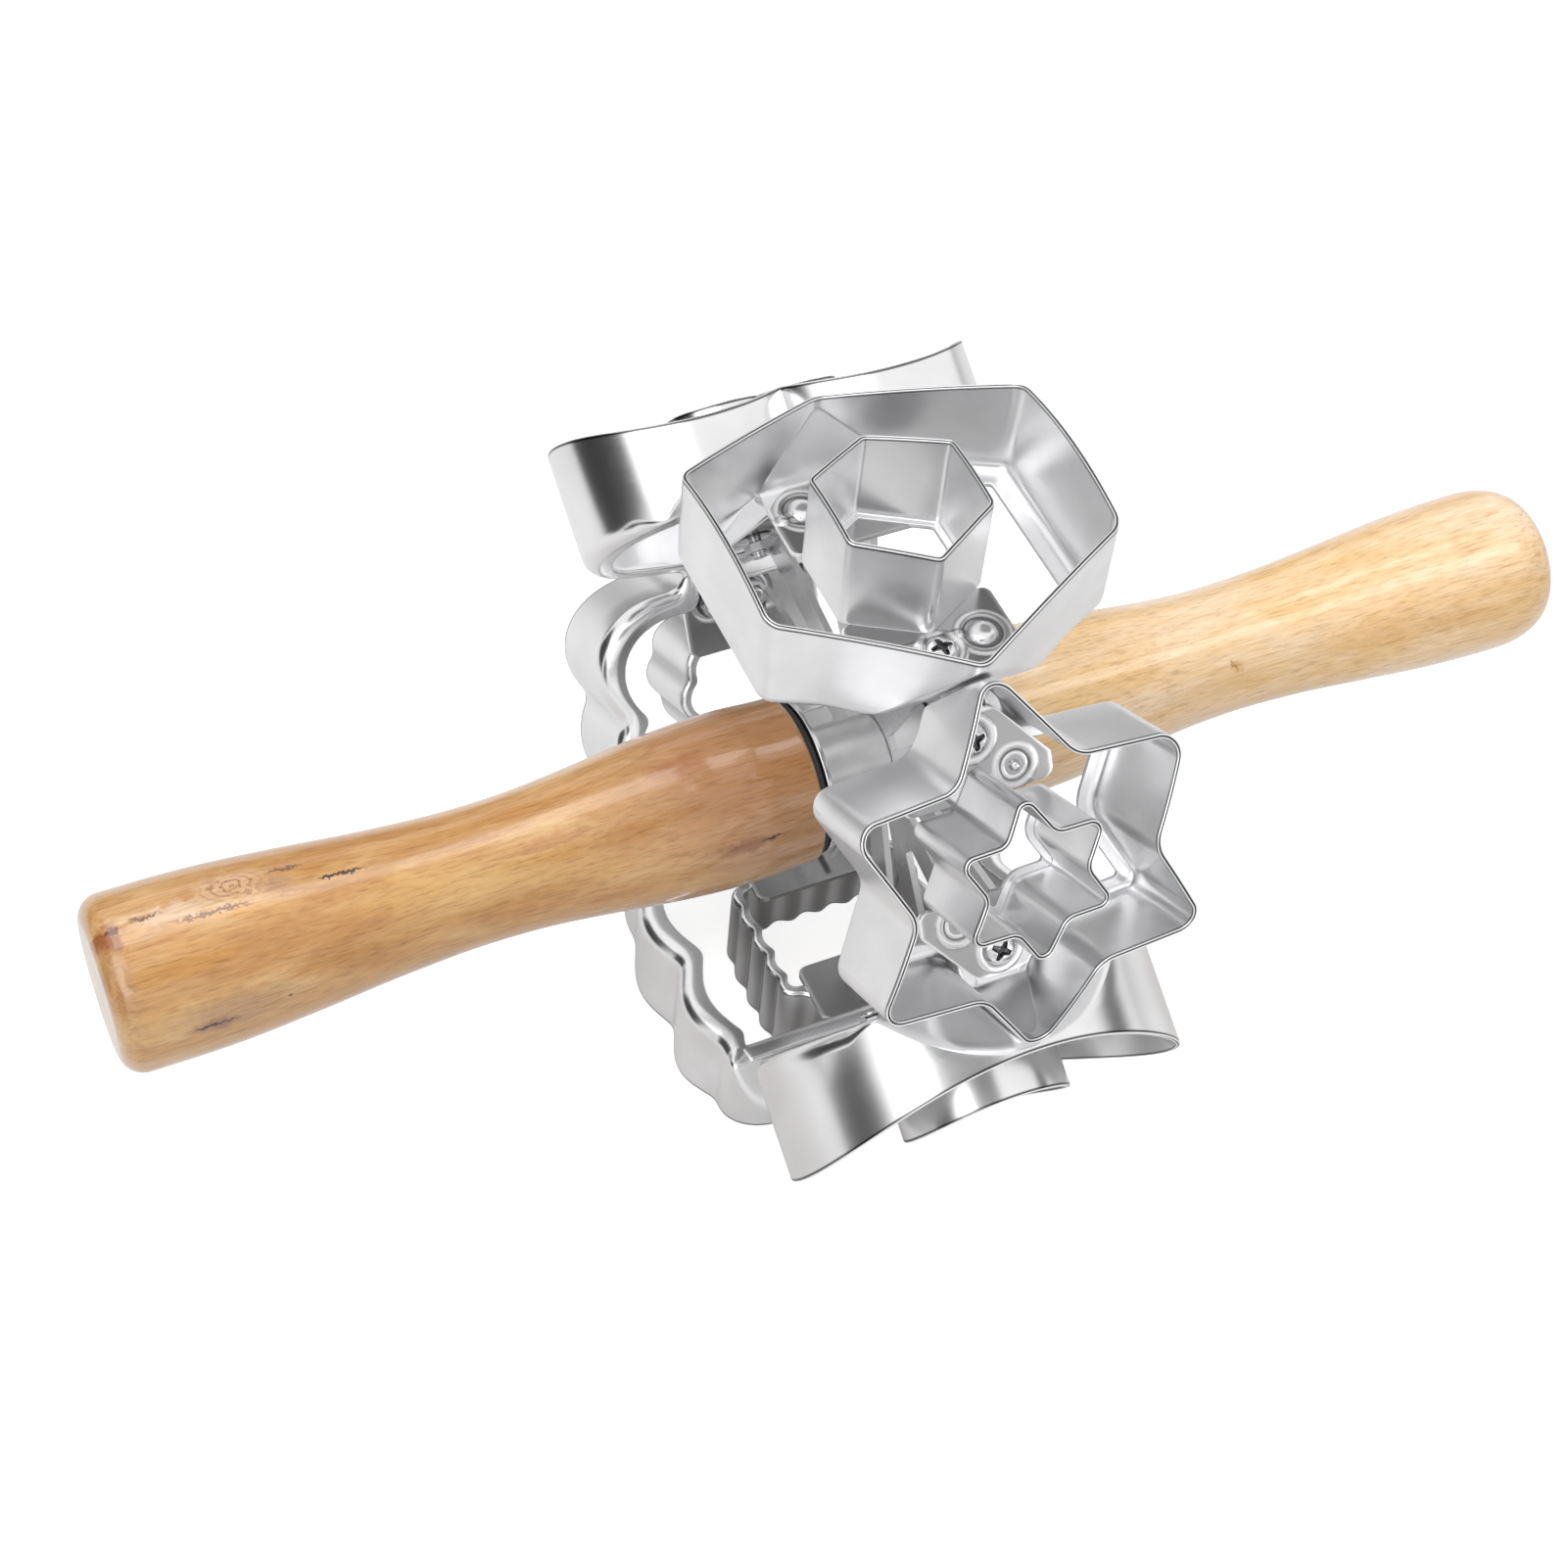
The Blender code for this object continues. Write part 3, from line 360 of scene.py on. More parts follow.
def oval(half_x, half_y, inset):
    """Ellipse: the half width times the cosine of the angle, and the half height times its sine."""
    angle = full_circle(360)
    return np.stack([(half_x - inset) * np.cos(angle), (half_y - inset) * np.sin(angle)], axis=-1)


def scalloped(half_x, half_y, corner, depth, lobes, phase, inset):
    """Rounded square that swells out in lobes.

    The swell is the depth times the sine of the distance along each quarter, without its sign and to
    the power 1.15. It is added to the corner's radius, and on the sides to their distance out.
    """
    flat_x, flat_y = half_x - depth - corner, half_y - depth - corner
    quarter = flat_x + flat_y + corner * QUARTER_TURN
    share = np.linspace(0, 1, 220, endpoint=False)
    parts = []
    for turn in range(4):
        along = quarter * (share if turn % 2 == 0 else 1 - share)
        swell = depth * np.abs(np.sin(math.pi * lobes * along / quarter + phase)) ** 1.15 - inset
        angle = np.clip((along - flat_y) / corner, 0, QUARTER_TURN)
        x = np.minimum(flat_x, quarter - along) + (corner + swell) * np.cos(angle)
        y = np.minimum(flat_y, along) + (corner + swell) * np.sin(angle)
        hand = (1 if turn in (0, 3) else -1, 1 if turn in (0, 1) else -1)
        parts.append(np.stack([x * hand[0], y * hand[1]], axis=-1))
    return soften(np.concatenate(parts), SCALLOP_SOFTENING)


def petals(half_x, half_y, depth, count, phase, inset):
    """Ellipse whose radii shrink between petals.

    They shrink by the depth times one less the cosine, without its sign, of the angle times half the
    count of petals.
    """
    angle = full_circle(720)
    dip = depth * (1 - np.abs(np.cos(count * angle / 2 + phase))) + inset
    outline = np.stack([(half_x - dip) * np.cos(angle), (half_y - dip) * np.sin(angle)], axis=-1)
    return soften(outline, PETAL_SOFTENING)


def heart(lobe, offset, centre, side_reach, tip, rounding, notch_flange, inset):
    """Two lobes towards -y, sides drawn out towards the rounded tip at +y.

    Each lobe is a circle about a point at the offset. Beyond that point towards the tip it becomes half
    an ellipse of the side reach, which ends where a straight line to the tip would touch it.
    """
    squeeze = lobe / side_reach
    notch = math.asin(offset / lobe)
    drop = (centre + tip) * squeeze
    end = math.atan2(offset, drop) + math.asin(lobe / math.hypot(offset, drop))
    angle = np.linspace(-QUARTER_TURN - notch, end, 260)[3:]
    reach = np.where(angle < 0, lobe, side_reach)
    x = offset + (lobe - inset) * np.cos(angle)
    y = -centre + (reach - inset) * np.sin(angle)
    right = np.stack([x, y], axis=-1)
    start = np.array([[0.0, -centre - lobe * math.cos(notch) + min(inset, notch_flange)]])
    half_tip = math.atan2(offset + lobe * math.cos(end), tip + centre - side_reach * math.sin(end))
    sharp = tip + rounding * (1 / math.sin(half_tip) - 1) - inset / math.sin(half_tip)
    radius = max(rounding - inset, LEAST_ROUNDING)
    mirror = right[::-1] * np.array([-1.0, 1.0])
    corners = [(*right[-1], 0.0), (0.0, sharp, radius), (*mirror[0], 0.0)]
    return np.concatenate([start, right, rounded_corners(corners)[ARC_STEPS:2 * ARC_STEPS], mirror])


def soften(outline, reach):
    """Running average round the outline, which rounds the sharp valleys between lobes."""
    total = sum(np.roll(outline, shift, axis=0) for shift in range(-reach, reach + 1))
    return total / (2 * reach + 1)


# How each cutting edge is drawn: function, lengths in millimetres, and count and phase of the lobes
OUTER_OUTLINES = {
    "hexagon": (hexagon, (61.0, 34.0, 31.7, 3.6), ()),
    "star": (star, (31.7, 21.0, 3.4, 4.4), ()),
    "round": (oval, (35.5, 31.7), ()),
    "square": (scalloped, (36.2, 31.7, 11.0, 3.0), (3, 0.0)),
    "flower": (petals, (34.5, 31.7, 6.0), (6, QUARTER_TURN)),
    "heart": (heart, (20.6, 17.2, 7.4, 26.0, 31.7, 3.0, 2.0), ()),
}
HOLE_OUTLINES = {
    "hexagon": (hexagon, (25.4, 15.0, 14.7, 1.8), ()),
    "star": (star, (13.9, 9.0, 1.9, 2.2), ()),
    "round": (oval, (15.0, 15.0), ()),
    "square": (scalloped, (18.0, 15.1, 5.0, 1.0), (5, QUARTER_TURN)),
    "flower": (petals, (16.6, 15.1, 1.4), (10, 0.0)),
    "heart": (heart, (8.6, 7.3, 3.2, 10.5, 14.0, 1.2, 1.5), ()),
}


def draw_edge(outlines, shape, flange, steps):
    """A cutting edge, the opening that lies the flange's width inside it, and the distance along it."""
    draw, lengths, lobes = outlines[shape]
    lengths = [length * MM for length in lengths]
    return resample_together(draw(*lengths, *lobes, 0.0), draw(*lengths, *lobes, flange), steps)


def resample_together(outline, opening, count):
    """Even steps along the outline, with the opening's points read at the same shares."""
    step = np.linalg.norm(np.roll(outline, -1, axis=0) - outline, axis=1)
    distance = np.concatenate([[0], np.cumsum(step)])
    wanted = np.linspace(0, distance[-1], count, endpoint=False)
    closed = [np.vstack([points, points[:1]]) for points in (outline, opening)]
    first, second = [np.stack([np.interp(wanted, distance, points[:, axis]) for axis in (0, 1)], axis=-1)
                     for points in closed]
    return first, second, wanted


def inward_normals(outline):
    """Unit normals: the way from the point before to the point after, turned a quarter to the left."""
    return unit(left_of(np.roll(outline, -1, axis=0) - np.roll(outline, 1, axis=0)))


def valley_share(outline, reach):
    """How deep each point lies in a valley between lobes, from 0 on a crest to 1 in the deepest.

    It is the point's distance inside the outline's own running average, over the greatest such
    distance, shifted so that the middle of a flank is one half.
    """
    inside = np.sum((outline - soften(outline, reach)) * inward_normals(outline), axis=1)
    return smooth_step(0.5 + 0.5 * inside / np.max(inside))


# Cutters

def base_height(y):
    """Base plane that turns up along the mitre plane outside the crease.

    It is the greater of the two planes' heights, eased at the crease: half of their sum, plus half the
    root of their difference squared plus the crease's rounding squared.
    """
    gap = 2 * MITRE_GAP + math.sqrt(3) * np.abs(y) - BASE
    return BASE + 0.5 * (gap + np.sqrt(gap * gap + CREASE_ROUND * CREASE_ROUND))


def base_thickness(y):
    """Upright thickness of the base: one sheet on the flat, and two where it slopes like the mitre."""
    return SHEET * (1.0 + 1.0 / (1 + np.exp(-(np.abs(y) - CREASE) / (0.35 * MM))))


def hole_base_height(y):
    """Flat base of a hole cutter, at one height."""
    return np.full_like(y, HOLE_BASE)


def hole_base_thickness(y):
    """One sheet, as a hole cutter's base is flat."""
    return np.full_like(y, SHEET)


def outer_base(outline, opening):
    """Fold points and the clamped edge of the opening, for the base of an outer cutter.

    Beyond the creases both run straight across, from the last point before to the first point after.
    """
    hole = np.stack([opening[:, 0], np.clip(opening[:, 1], -OPENING_END, OPENING_END)], axis=-1)
    fold = outline + OUTER_FOLD_SHARE * (hole - outline)
    fold[:, 1] = np.clip(fold[:, 1], -CREASE, CREASE)
    index = np.arange(len(outline))
    beyond = np.abs(outline[:, 1]) > CREASE
    kept = index[~beyond]
    for points, end in ((fold, CREASE), (hole, OPENING_END)):
        points[:, 0] = np.interp(index, kept, points[kept, 0], period=len(outline))
        points[beyond, 1] = np.sign(outline[beyond, 1]) * end
    return hole, fold


def cutter_rows(outline, hole, fold, base_of, thickness_of, bend_radius):
    """Closed section of a cutter's sheet carried round its outline, and the hem's painted shade and highlight
    on each row.

    From the opening's edge the base runs out to the fold and on to the bend. The wall rises to the
    hemmed rim, whose two lips stand either side of a fine groove, and the inner face comes back down
    the same way. The edge's height is the root of the edge radius squared less y squared, so that it
    lies on the rolling cylinder. The bend is a quarter circle, tighter near the creases.
    """
    inward = inward_normals(outline)
    top = np.sqrt(EDGE_RADIUS**2 - outline[:, 1] ** 2)
    crisp = smooth_step((np.abs(outline[:, 1]) - CREASE + CRISP_REACH) / CRISP_REACH)
    bend = np.minimum(bend_radius * (1 - CRISP_SHARE * crisp), BEND_SHARE * (top - base_of(outline[:, 1])))
    tight = np.maximum(bend - SHEET, LIP)
    rows = []

    def at(place, height):
        """Add a row of points."""
        rows.append(np.concatenate([place, height[:, None]], axis=1))

    def run(start, end, shares, height_of):
        """Add rows at shares of the way from one row of places to another."""
        for share in shares:
            place = start + (end - start) * share
            at(place, height_of(place))

    def under(place):
        """Height of the base's lower face."""
        return base_of(place[:, 1])

    def inner(place, rise=0.0):
        """Height of the base's upper face, kept below the edge."""
        return np.minimum(under(place) + thickness_of(place[:, 1]) + rise, top - HEADROOM)

    at(hole, under(hole) + LIP)
    run(hole, fold, (0.03, 0.3, 0.75, 0.92, 1.0), under)
    run(fold, outline + inward * bend[:, None], (0.12, 0.35, 0.7), under)
    for angle in np.linspace(0, QUARTER_TURN, 8):
        place = outline + inward * (bend * (1 - math.sin(angle)))[:, None]
        at(place, under(place) + bend * (1 - math.cos(angle)))
    low = under(outline) + bend
    rim_low = np.maximum(top - RIM_HEIGHT, low + 0.1 * MM)
    for share in WALL_SHARES:
        at(outline, low + (rim_low - low) * share)
    first = len(rows)
    for offset, drop, _ in RIM:
        at(outline + inward * offset * MM, top - drop * MM)
    inner_low = inner(outline + inward * SHEET, tight)
    for share in WALL_SHARES[::-1]:
        at(outline + inward * SHEET, inner_low + (rim_low - inner_low) * share)
    for angle in np.linspace(QUARTER_TURN, 0, 7):
        place = outline + inward * (SHEET + tight * (1 - math.sin(angle)))[:, None]
        at(place, inner(place, tight * (1 - math.cos(angle))))
    run(outline + inward * (SHEET + tight)[:, None], fold, (0.3, 0.65, 0.88, 1.0), inner)
    run(fold, hole, (0.08, 0.25, 0.7, 0.97), inner)
    at(hole, under(hole) + SHEET - LIP)
    # Painted shade in the groove and just under the rim outside, painted highlight on the lips
    hem = np.zeros(len(rows))
    hem[first:first + len(RIM)] = [point[2] for point in RIM]
    return np.stack(rows), hem


def build_cutter(shape, index, material, hole_cutter):
    """Outer cutter with its webs and base rim, or the fluted or plain hole cutter inside it."""
    if hole_cutter:
        outline, hole, along = draw_edge(HOLE_OUTLINES, shape, HOLE_FLANGE, HOLE_STEPS)
        fold = outline + HOLE_FOLD_SHARE * (hole - outline)
        rows, hem = cutter_rows(outline, hole, fold, hole_base_height, hole_base_thickness, HOLE_BEND)
        name = "hole_cutter_" + shape
    else:
        outline, opening, along = draw_edge(OUTER_OUTLINES, shape, FLANGES[shape], OUTER_STEPS)
        hole, fold = outer_base(outline, opening)
        bend = min(OUTER_BEND, OUTER_BEND_SHARE * FLANGES[shape])
        rows, hem = cutter_rows(outline, hole, fold, base_height, base_thickness, bend)
        name = "cutter_" + shape
    grid = rows.shape[:2]
    step = np.linalg.norm(np.diff(rows, axis=0), axis=2)
    across = np.concatenate([np.zeros((1, grid[1])), np.cumsum(step, axis=0)])
    # The hem's painted shade and highlight, the same all round the outline
    shade = np.repeat(hem[:, None], grid[1], axis=1)
    # Painted shade in the valleys between the flutes
    if hole_cutter and shape in FLUTE_PAINTED_SHADE:
        flutes = FLUTE_PAINTED_SHADE[shape] * valley_share(outline, FLUTE_REACH)
        shade = np.where(np.abs(shade) > 0, shade, flutes[None, :])
    points = turn_about_axle(rows.reshape(-1, 3), index)
    piece = make_object(name + "_sheet", points, [grid_faces(*grid, True, True)], material)
    store_sheet(piece, grid, along[None, :], across, shade)
    stand_for(piece, "wheel", name)


# Ears and fasteners

def part_name(kind, shape, side):
    """Name of an ear, screw or rivet in front of or behind the hole cutter."""
    return kind + "_" + shape + ("_front" if side < 0 else "_back")


def screw_place(shape, side):
    """Middle of a screw on the flat-drawn cutter, nearer the axle's plane below the heart's notch."""
    return (0.0, side * (13.5 * MM if shape == "heart" and side < 0 else 18.4 * MM))


def rivet_place(shape, side):
    """Middle of a rivet on the flat-drawn cutter, beside its screw."""
    hand = -side if shape == "hexagon" else side
    if shape == "star":
        return (hand * 6.6 * MM, side * 12.0 * MM)
    reach = 18.4 * MM
    if shape == "hexagon":
        reach = 17.2 * MM
    elif shape == "heart" and side < 0:
        reach = 15.6 * MM
    return (hand * 7.9 * MM, side * reach)


def build_ear(shape, side, index, material):
    """Stamped lug: half width against distance from the axle's plane, with a rib and rimmed seats.

    The half width is even up to the shoulder and tapers in a straight line to the tip, less a quarter
    circle at each corner. The height is flat, plus a bell curve across the rib (hexagon only) and one
    in the distance from each fastener, just outside its head. The edges and those rims get a painted
    highlight, and the line where a head meets the ear gets painted shade.
    """
    u, v = np.meshgrid(np.linspace(-1, 1, EAR_GRID[0]), np.linspace(0, 1, EAR_GRID[1]), indexing="ij")
    length = EAR_OUTER_END - EAR_INNER_END
    shoulder, tip_half = (12.6 * MM, 4.2 * MM) if shape == "star" else (19.4 * MM, 8.6 * MM)
    reach = EAR_INNER_END + v * length
    taper = np.clip((reach - shoulder) / (EAR_OUTER_END - shoulder), 0, 1)
    half = EAR_HALF_WIDTH + (tip_half - EAR_HALF_WIDTH) * taper
    for end, sign in ((EAR_INNER_END, 1), (EAR_OUTER_END, -1)):
        near = np.clip(1 - sign * (reach - end) / EAR_CORNER, 0, 1)
        half = half - EAR_CORNER * (1 - np.sqrt(1 - near * near))
    x = u * half
    if shape == "heart" and side < 0:
        notch = smooth_step(np.abs(x) / EAR_NOTCH_WIDTH)
        length = EAR_NOTCH - EAR_INNER_END + (EAR_OUTER_END - EAR_NOTCH) * notch
    y = EAR_INNER_END + v * length
    height = np.full_like(x, EAR_TOP - 0.05 * MM)
    if shape == "hexagon":
        inside = smooth_step((RIB_HALF_LENGTH - np.abs(x + side * RIB_SHIFT)) / RIB_END)
        height = height + RIB_HEIGHT * bell(y, RIB_REACH, RIB_WIDTH) * inside
    # Painted highlight along the edges and on the rim outside each head, and painted shade where each head
    # meets the ear
    edge_highlight = smooth_step((np.abs(u) - 0.945) / 0.03)
    shade = -0.9 * np.maximum(edge_highlight, smooth_step((v - 0.95) / 0.03))
    rivet_radius = DOME_RIVET_RADIUS if shape == "hexagon" else RIVET_RADIUS
    for (px, py), head in ((screw_place(shape, side), HEAD_RADIUS), (rivet_place(shape, side), rivet_radius)):
        distance = np.hypot(side * x - px, side * y - py)
        height = height + 0.22 * MM * bell(distance, head + 0.7 * MM, 0.45 * MM)
        shade = shade + 0.85 * bell(distance, head + 0.05 * MM, 0.28 * MM)
        shade = shade - 0.8 * bell(distance, head + 0.75 * MM, 0.25 * MM)
    points = turn_about_axle(np.stack([side * x, side * y, height], axis=-1).reshape(-1, 3), index)
    name = part_name("ear", shape, side)
    piece = make_object(name + "_stamping", points, [grid_faces(*EAR_GRID, False, False)], material)
    store_sheet(piece, EAR_GRID, x, y, shade)
    wall = piece.modifiers.new("gauge", "SOLIDIFY")
    wall.thickness = EAR_GAUGE
    wall.offset = -1.0
    edge = piece.modifiers.new("edge", "BEVEL")
    edge.width = 0.22 * MM
    edge.segments = 2
    edge.limit_method = "ANGLE"
    edge.angle_limit = math.radians(50)
    stand_for(piece, "wheel", name)


def revolve(profile, steps):
    """Grid of points from a profile of (radius, height) turned about the z axis."""
    angle = full_circle(steps)
    radius, height = profile[:, :1], np.repeat(profile[:, 1:], steps, axis=1)
    return np.stack([radius * np.cos(angle), radius * np.sin(angle), height], axis=-1)


def closed_turning(rows):
    """Faces of a turned solid whose first row is its lowest ring and last row its highest ring."""
    count, steps = rows.shape[:2]
    points = np.concatenate([rows.reshape(-1, 3), [rows[0].mean(axis=0), rows[-1].mean(axis=0)]])
    faces = [grid_faces(count, steps, False, True), fan_faces(0, steps, count * steps, True),
             fan_faces((count - 1) * steps, steps, count * steps + 1, False)]
    return points, faces


def set_fastener(kind, ending, shape, side, index, rows, place, shade, material):
    """Put a turned screw or rivet upright at its place on the ear, and hand it over to its node."""
    points, faces = closed_turning(rows)
    name = part_name(kind, shape, side)
    points = turn_about_axle(points + np.array([*place, 0.0]), index)
    piece = make_object(name + ending, points, faces, material)
    store_sheet(piece, rows.shape[:2], rows[..., 0], rows[..., 1], shade)
    stand_for(piece, "wheel", name)


def build_screw(shape, side, index, material, turn):
    """Pan head with a cross recess, on a threaded shank; the profile is in millimetres.

    The head's height is the root of one less the radius over the head's radius to the power 2.6. The
    recess is the deeper of two tapered slots at right angles and a round middle, and it gets shallower
    away from the middle. The shank's radius rises and falls with the cosine of the height, once for
    every turn of the thread.
    """
    head, seat = HEAD_RADIUS / MM, SEAT / MM
    rim, edge = seat + HEAD_RIM, HEAD_ROUNDING
    height = np.linspace(SHANK_END, seat - 0.1, 60)
    thread = SHANK_RADIUS + THREAD_DEPTH * np.cos(2 * math.pi * (height - SHANK_END) / THREAD_PITCH)
    radius = head * np.cos(np.linspace(0, 1, 42) * QUARTER_TURN)[1:-1]
    dome = rim + (SCREW_TOP - rim) * np.sqrt(np.clip(1 - (radius / head) ** HEAD_POWER, 0, 1))
    flank = [(1.3, seat), (head - edge, seat), (head, seat + edge), (head, rim)]
    profile = [[(0.9, SHANK_END)], np.stack([thread, height], axis=-1), flank,
               np.stack([radius, dome], axis=-1)]
    rows = revolve(np.concatenate(profile) * MM, 96)
    c, s = math.cos(turn), math.sin(turn)
    across = rows[..., 0] * c + rows[..., 1] * s
    along = -rows[..., 0] * s + rows[..., 1] * c
    distance = np.hypot(across, along)
    recess = smooth_step((RECESS_MIDDLE - distance) / (0.25 * MM))
    for first, second in ((np.abs(across), np.abs(along)), (np.abs(along), np.abs(across))):
        slot = smooth_step((SLOT_HALF_WIDTH - SLOT_TAPER * second - first) / (0.22 * MM) + 0.5)
        recess = np.maximum(recess, slot * smooth_step((SLOT_REACH - second) / (0.35 * MM)))
    depth = RECESS_DEPTH * recess * (1 - 0.3 * distance / SLOT_REACH)
    depth = np.where(rows[..., 2] > rim * MM, np.maximum(depth, 0), 0)
    rows[..., 2] = rows[..., 2] - depth
    # Painted shade in the cross recess, darker where it is deeper
    shade = np.clip(depth / (0.8 * MM), 0, 1)
    place = screw_place(shape, side)
    set_fastener("screw", "_cross_head", shape, side, index, rows, place, shade, material)


def build_rivet(shape, side, index, material):
    """Rivet turned from a profile in millimetres, a closed tail under the ear and a head above it.

    The hexagon's head is a low ring round a full dome, whose radius is the cosine to the power 0.7
    where its height goes with the sine. The others are an elliptical ring with a ball in it.
    """
    seat = SEAT / MM
    tail = [(1.5, 41.6), (1.9, 41.75), (2.0, 42.1), (1.9, 42.4), (1.2, 42.5), (1.2, seat)]
    if shape == "hexagon":
        ring = [(3.2, seat), (3.35, seat + 0.1), (3.34, seat + 0.3), (3.15, seat + 0.45)]
        ring += [(2.92, seat + 0.40), (2.80, seat + 0.22), (2.72, seat + 0.24)]
        dome = arc((0.0, seat + 0.28), (1.0, RIVET_TOP - seat - 0.28), 0.0, QUARTER_TURN, 20)[:-1]
        dome[:, 0] = 2.66 * dome[:, 0] ** 0.7
    else:
        ring = arc((2.0, seat + 0.45), (0.68, 0.5), -0.3 * math.pi, 0.95 * math.pi, 18)
        ring = np.concatenate([[(2.2, seat)], ring, [(1.15, seat + 0.35), (0.95, seat + 0.5)]])
        dome = arc((0.0, seat + 0.95), (0.98, 0.95), -0.2 * math.pi, QUARTER_TURN, 16)[:-1]
    rows = revolve(np.concatenate([tail, ring, dome]) * MM, 64)
    # Painted shade where the ring sits on the ear and in the groove where the dome meets the ring
    shade = np.zeros((len(rows), 1))
    shade[len(tail):len(tail) + 2] = 0.8
    first = len(tail) + len(ring)
    shade[first - 3:first + 1] = 0.9
    place = rivet_place(shape, side)
    set_fastener("rivet", "_head", shape, side, index, rows, place, shade, material)


# Pieces on the axle

def along_axle(points, side):
    """Lay a turned piece along the axle, towards the left (-1) or right (1) handle."""
    return points @ np.array([[0, 0, -1.0 * side], [0, 1, 0], [side, 0, 0]])


def ring_section(inner, outer, start, end, rounding):
    """Closed section of a ring, in millimetres: a quarter circle for each rounded corner."""
    low, high, near, far = inner + rounding, outer - rounding, start + rounding, end - rounding
    parts = []
    for quarter, corner in enumerate(((high, far), (low, far), (low, near), (high, near))):
        angle = quarter * QUARTER_TURN
        parts.append(arc(corner, (rounding, rounding), angle, angle + QUARTER_TURN, 6))
    return np.concatenate(parts)[::-1]


def build_ring(name, node, body, section, side, material):
    """Ring turned about the axle from a closed section."""
    rows = revolve(section * MM, 128)
    faces = grid_faces(*rows.shape[:2], True, True)
    piece = make_object(name, along_axle(rows.reshape(-1, 3), side), [faces], material)
    stand_for(piece, body, node)


def handle_radius(along):
    """Radius of a handle at distances from its inner end, in millimetres.

    Between stations it goes from one radius to the next by half of one less the cosine of the way.
    """
    radius = np.full_like(along, HANDLE_STATIONS[0][1])
    for (start, first), (end, last) in zip(HANDLE_STATIONS, HANDLE_STATIONS[1:]):
        share = np.clip((along - start) / (end - start), 0, 1)
        ease = (1 - np.cos(math.pi * share)) / 2
        radius = np.where(along >= start, first + (last - first) * ease, radius)
    return radius


def build_handle(label, side, material, end_reach):
    """Turned handle: eased radius, a rounded inner edge and a quarter of an ellipse at the outer end.

    The ellipse is 4 mm deep in radius and as long along the axle as the end's reach. Very slight waves,
    one sine along the handle times another round it, keep the turning from looking perfect.
    """
    edge, depth = HANDLE_INNER_EDGE, HANDLE_END_DEPTH
    first, last = HANDLE_STATIONS[0][1], HANDLE_STATIONS[-1][1]
    inner = arc((first - edge, edge), (edge, edge), -QUARTER_TURN, 0.0, 8)
    along = np.linspace(1.2, HANDLE_LENGTH - 0.2 - end_reach, 150)
    outer = arc((last - depth, HANDLE_LENGTH - end_reach), (depth, end_reach), 0.0, QUARTER_TURN, 14)
    profile = [[(radius, 0.0) for radius in (5.0, 9.0, 12.5)], inner,
               np.stack([handle_radius(along), along], axis=-1), outer,
               [(radius, HANDLE_LENGTH) for radius in (10.2, 8.0, 5.0, 2.0)]]
    rows = revolve(np.concatenate(profile) * MM, 192)
    x, y, height = rows[..., 0], rows[..., 1], rows[..., 2]
    waves = 0.04 * MM * np.sin(height * 210.0 + 2.0 * side) * np.sin(np.arctan2(y, x) * 2 + height * 40)
    rows[..., :2] *= (1 - np.abs(waves) / np.maximum(np.hypot(x, y), 1e-9))[..., None]
    rows[..., 2] += HANDLE_START
    points, faces = closed_turning(rows)
    piece = make_object("turned_handle_" + label, along_axle(points, side), faces, material)
    piece.visible_glossy = False
    stand_for(piece, "handles", "wood_handle_" + label)
    return piece


# Materials

class Nodes:
    """Short hand for the nodes of a material or world: sockets are linked, other values are set."""

    def __init__(self, owner):
        owner.use_nodes = True
        self.owner = owner
        self.tree = owner.node_tree
        self.shader = self.tree.nodes.get("Principled BSDF")

    def put(self, socket, value):
        """Link a socket to another one, or give it a value; a colour gets full opacity."""
        if isinstance(value, bpy.types.NodeSocket):
            self.tree.links.new(value, socket)
        elif socket.type == "RGBA":
            socket.default_value = (*value, 1.0)
        else:
            socket.default_value = value

    def shade(self, **values):
        """Fill the surface shader's inputs, named with _ for a space."""
        for name, value in values.items():
            self.put(self.shader.inputs[name.replace("_", " ")], value)

    def add(self, kind, *values, out=0, **named):
        """One output of a new node: values fill its inputs in order, names its settings or inputs."""
        node = self.tree.nodes.new("ShaderNode" + kind)
        for key, value in named.items():
            if key in node.inputs:
                self.put(node.inputs[key], value)
            else:
                setattr(node, key, value)
        for socket, value in zip(node.inputs, values):
            self.put(socket, value)
        return node.outputs[out]

    def ramp(self, source, stops, smooth=False):
        """Colour that goes with the source from one stop (place, colour) to the next."""
        node = self.tree.nodes.new("ShaderNodeValToRGB")
        node.color_ramp.interpolation = "EASE" if smooth else "LINEAR"
        elements = node.color_ramp.elements
        while len(elements) < len(stops):
            elements.new(0.5)
        for element, (place, colour) in zip(elements, stops):
            element.position = place
            element.color = (*colour, 1.0)
        self.put(node.inputs["Fac"], source)
        return node.outputs["Color"]


def new_material(name):
    """Nodes of a new material."""
    return Nodes(bpy.data.materials.new(name))


def grey(value):
    """Steel's grey, a touch bluer than neutral."""
    return (value, value, value * 1.01)


def times(n, first, second, clamp=False):
    """Product of two values, kept between 0 and 1 where it is clamped."""
    return n.add("Math", first, second, operation="MULTIPLY", use_clamp=clamp)


def mix_colour(n, factor, first, second, blend="MIX"):
    """The first colour, blended into the second by the factor."""
    node = n.tree.nodes.new("ShaderNodeMix")
    node.data_type = "RGBA"
    node.blend_type = blend
    for slot, value in ((0, factor), (6, first), (7, second)):
        n.put(node.inputs[slot], value)
    return node.outputs[2]


def stretched_noise(n, vector, scale, detail, rough=0.6, distortion=0.0):
    """Noise drawn out along the axes where the scale is small."""
    stretched = n.add("Mapping", Vector=vector, Scale=scale)
    return n.add("TexNoise", Vector=stretched, Scale=1.0, Detail=detail, Roughness=rough,
                 Distortion=distortion)


def object_place(n):
    """Place in the frame that every piece shares, as each has its origin there."""
    return n.add("TexCoord", out="Object")


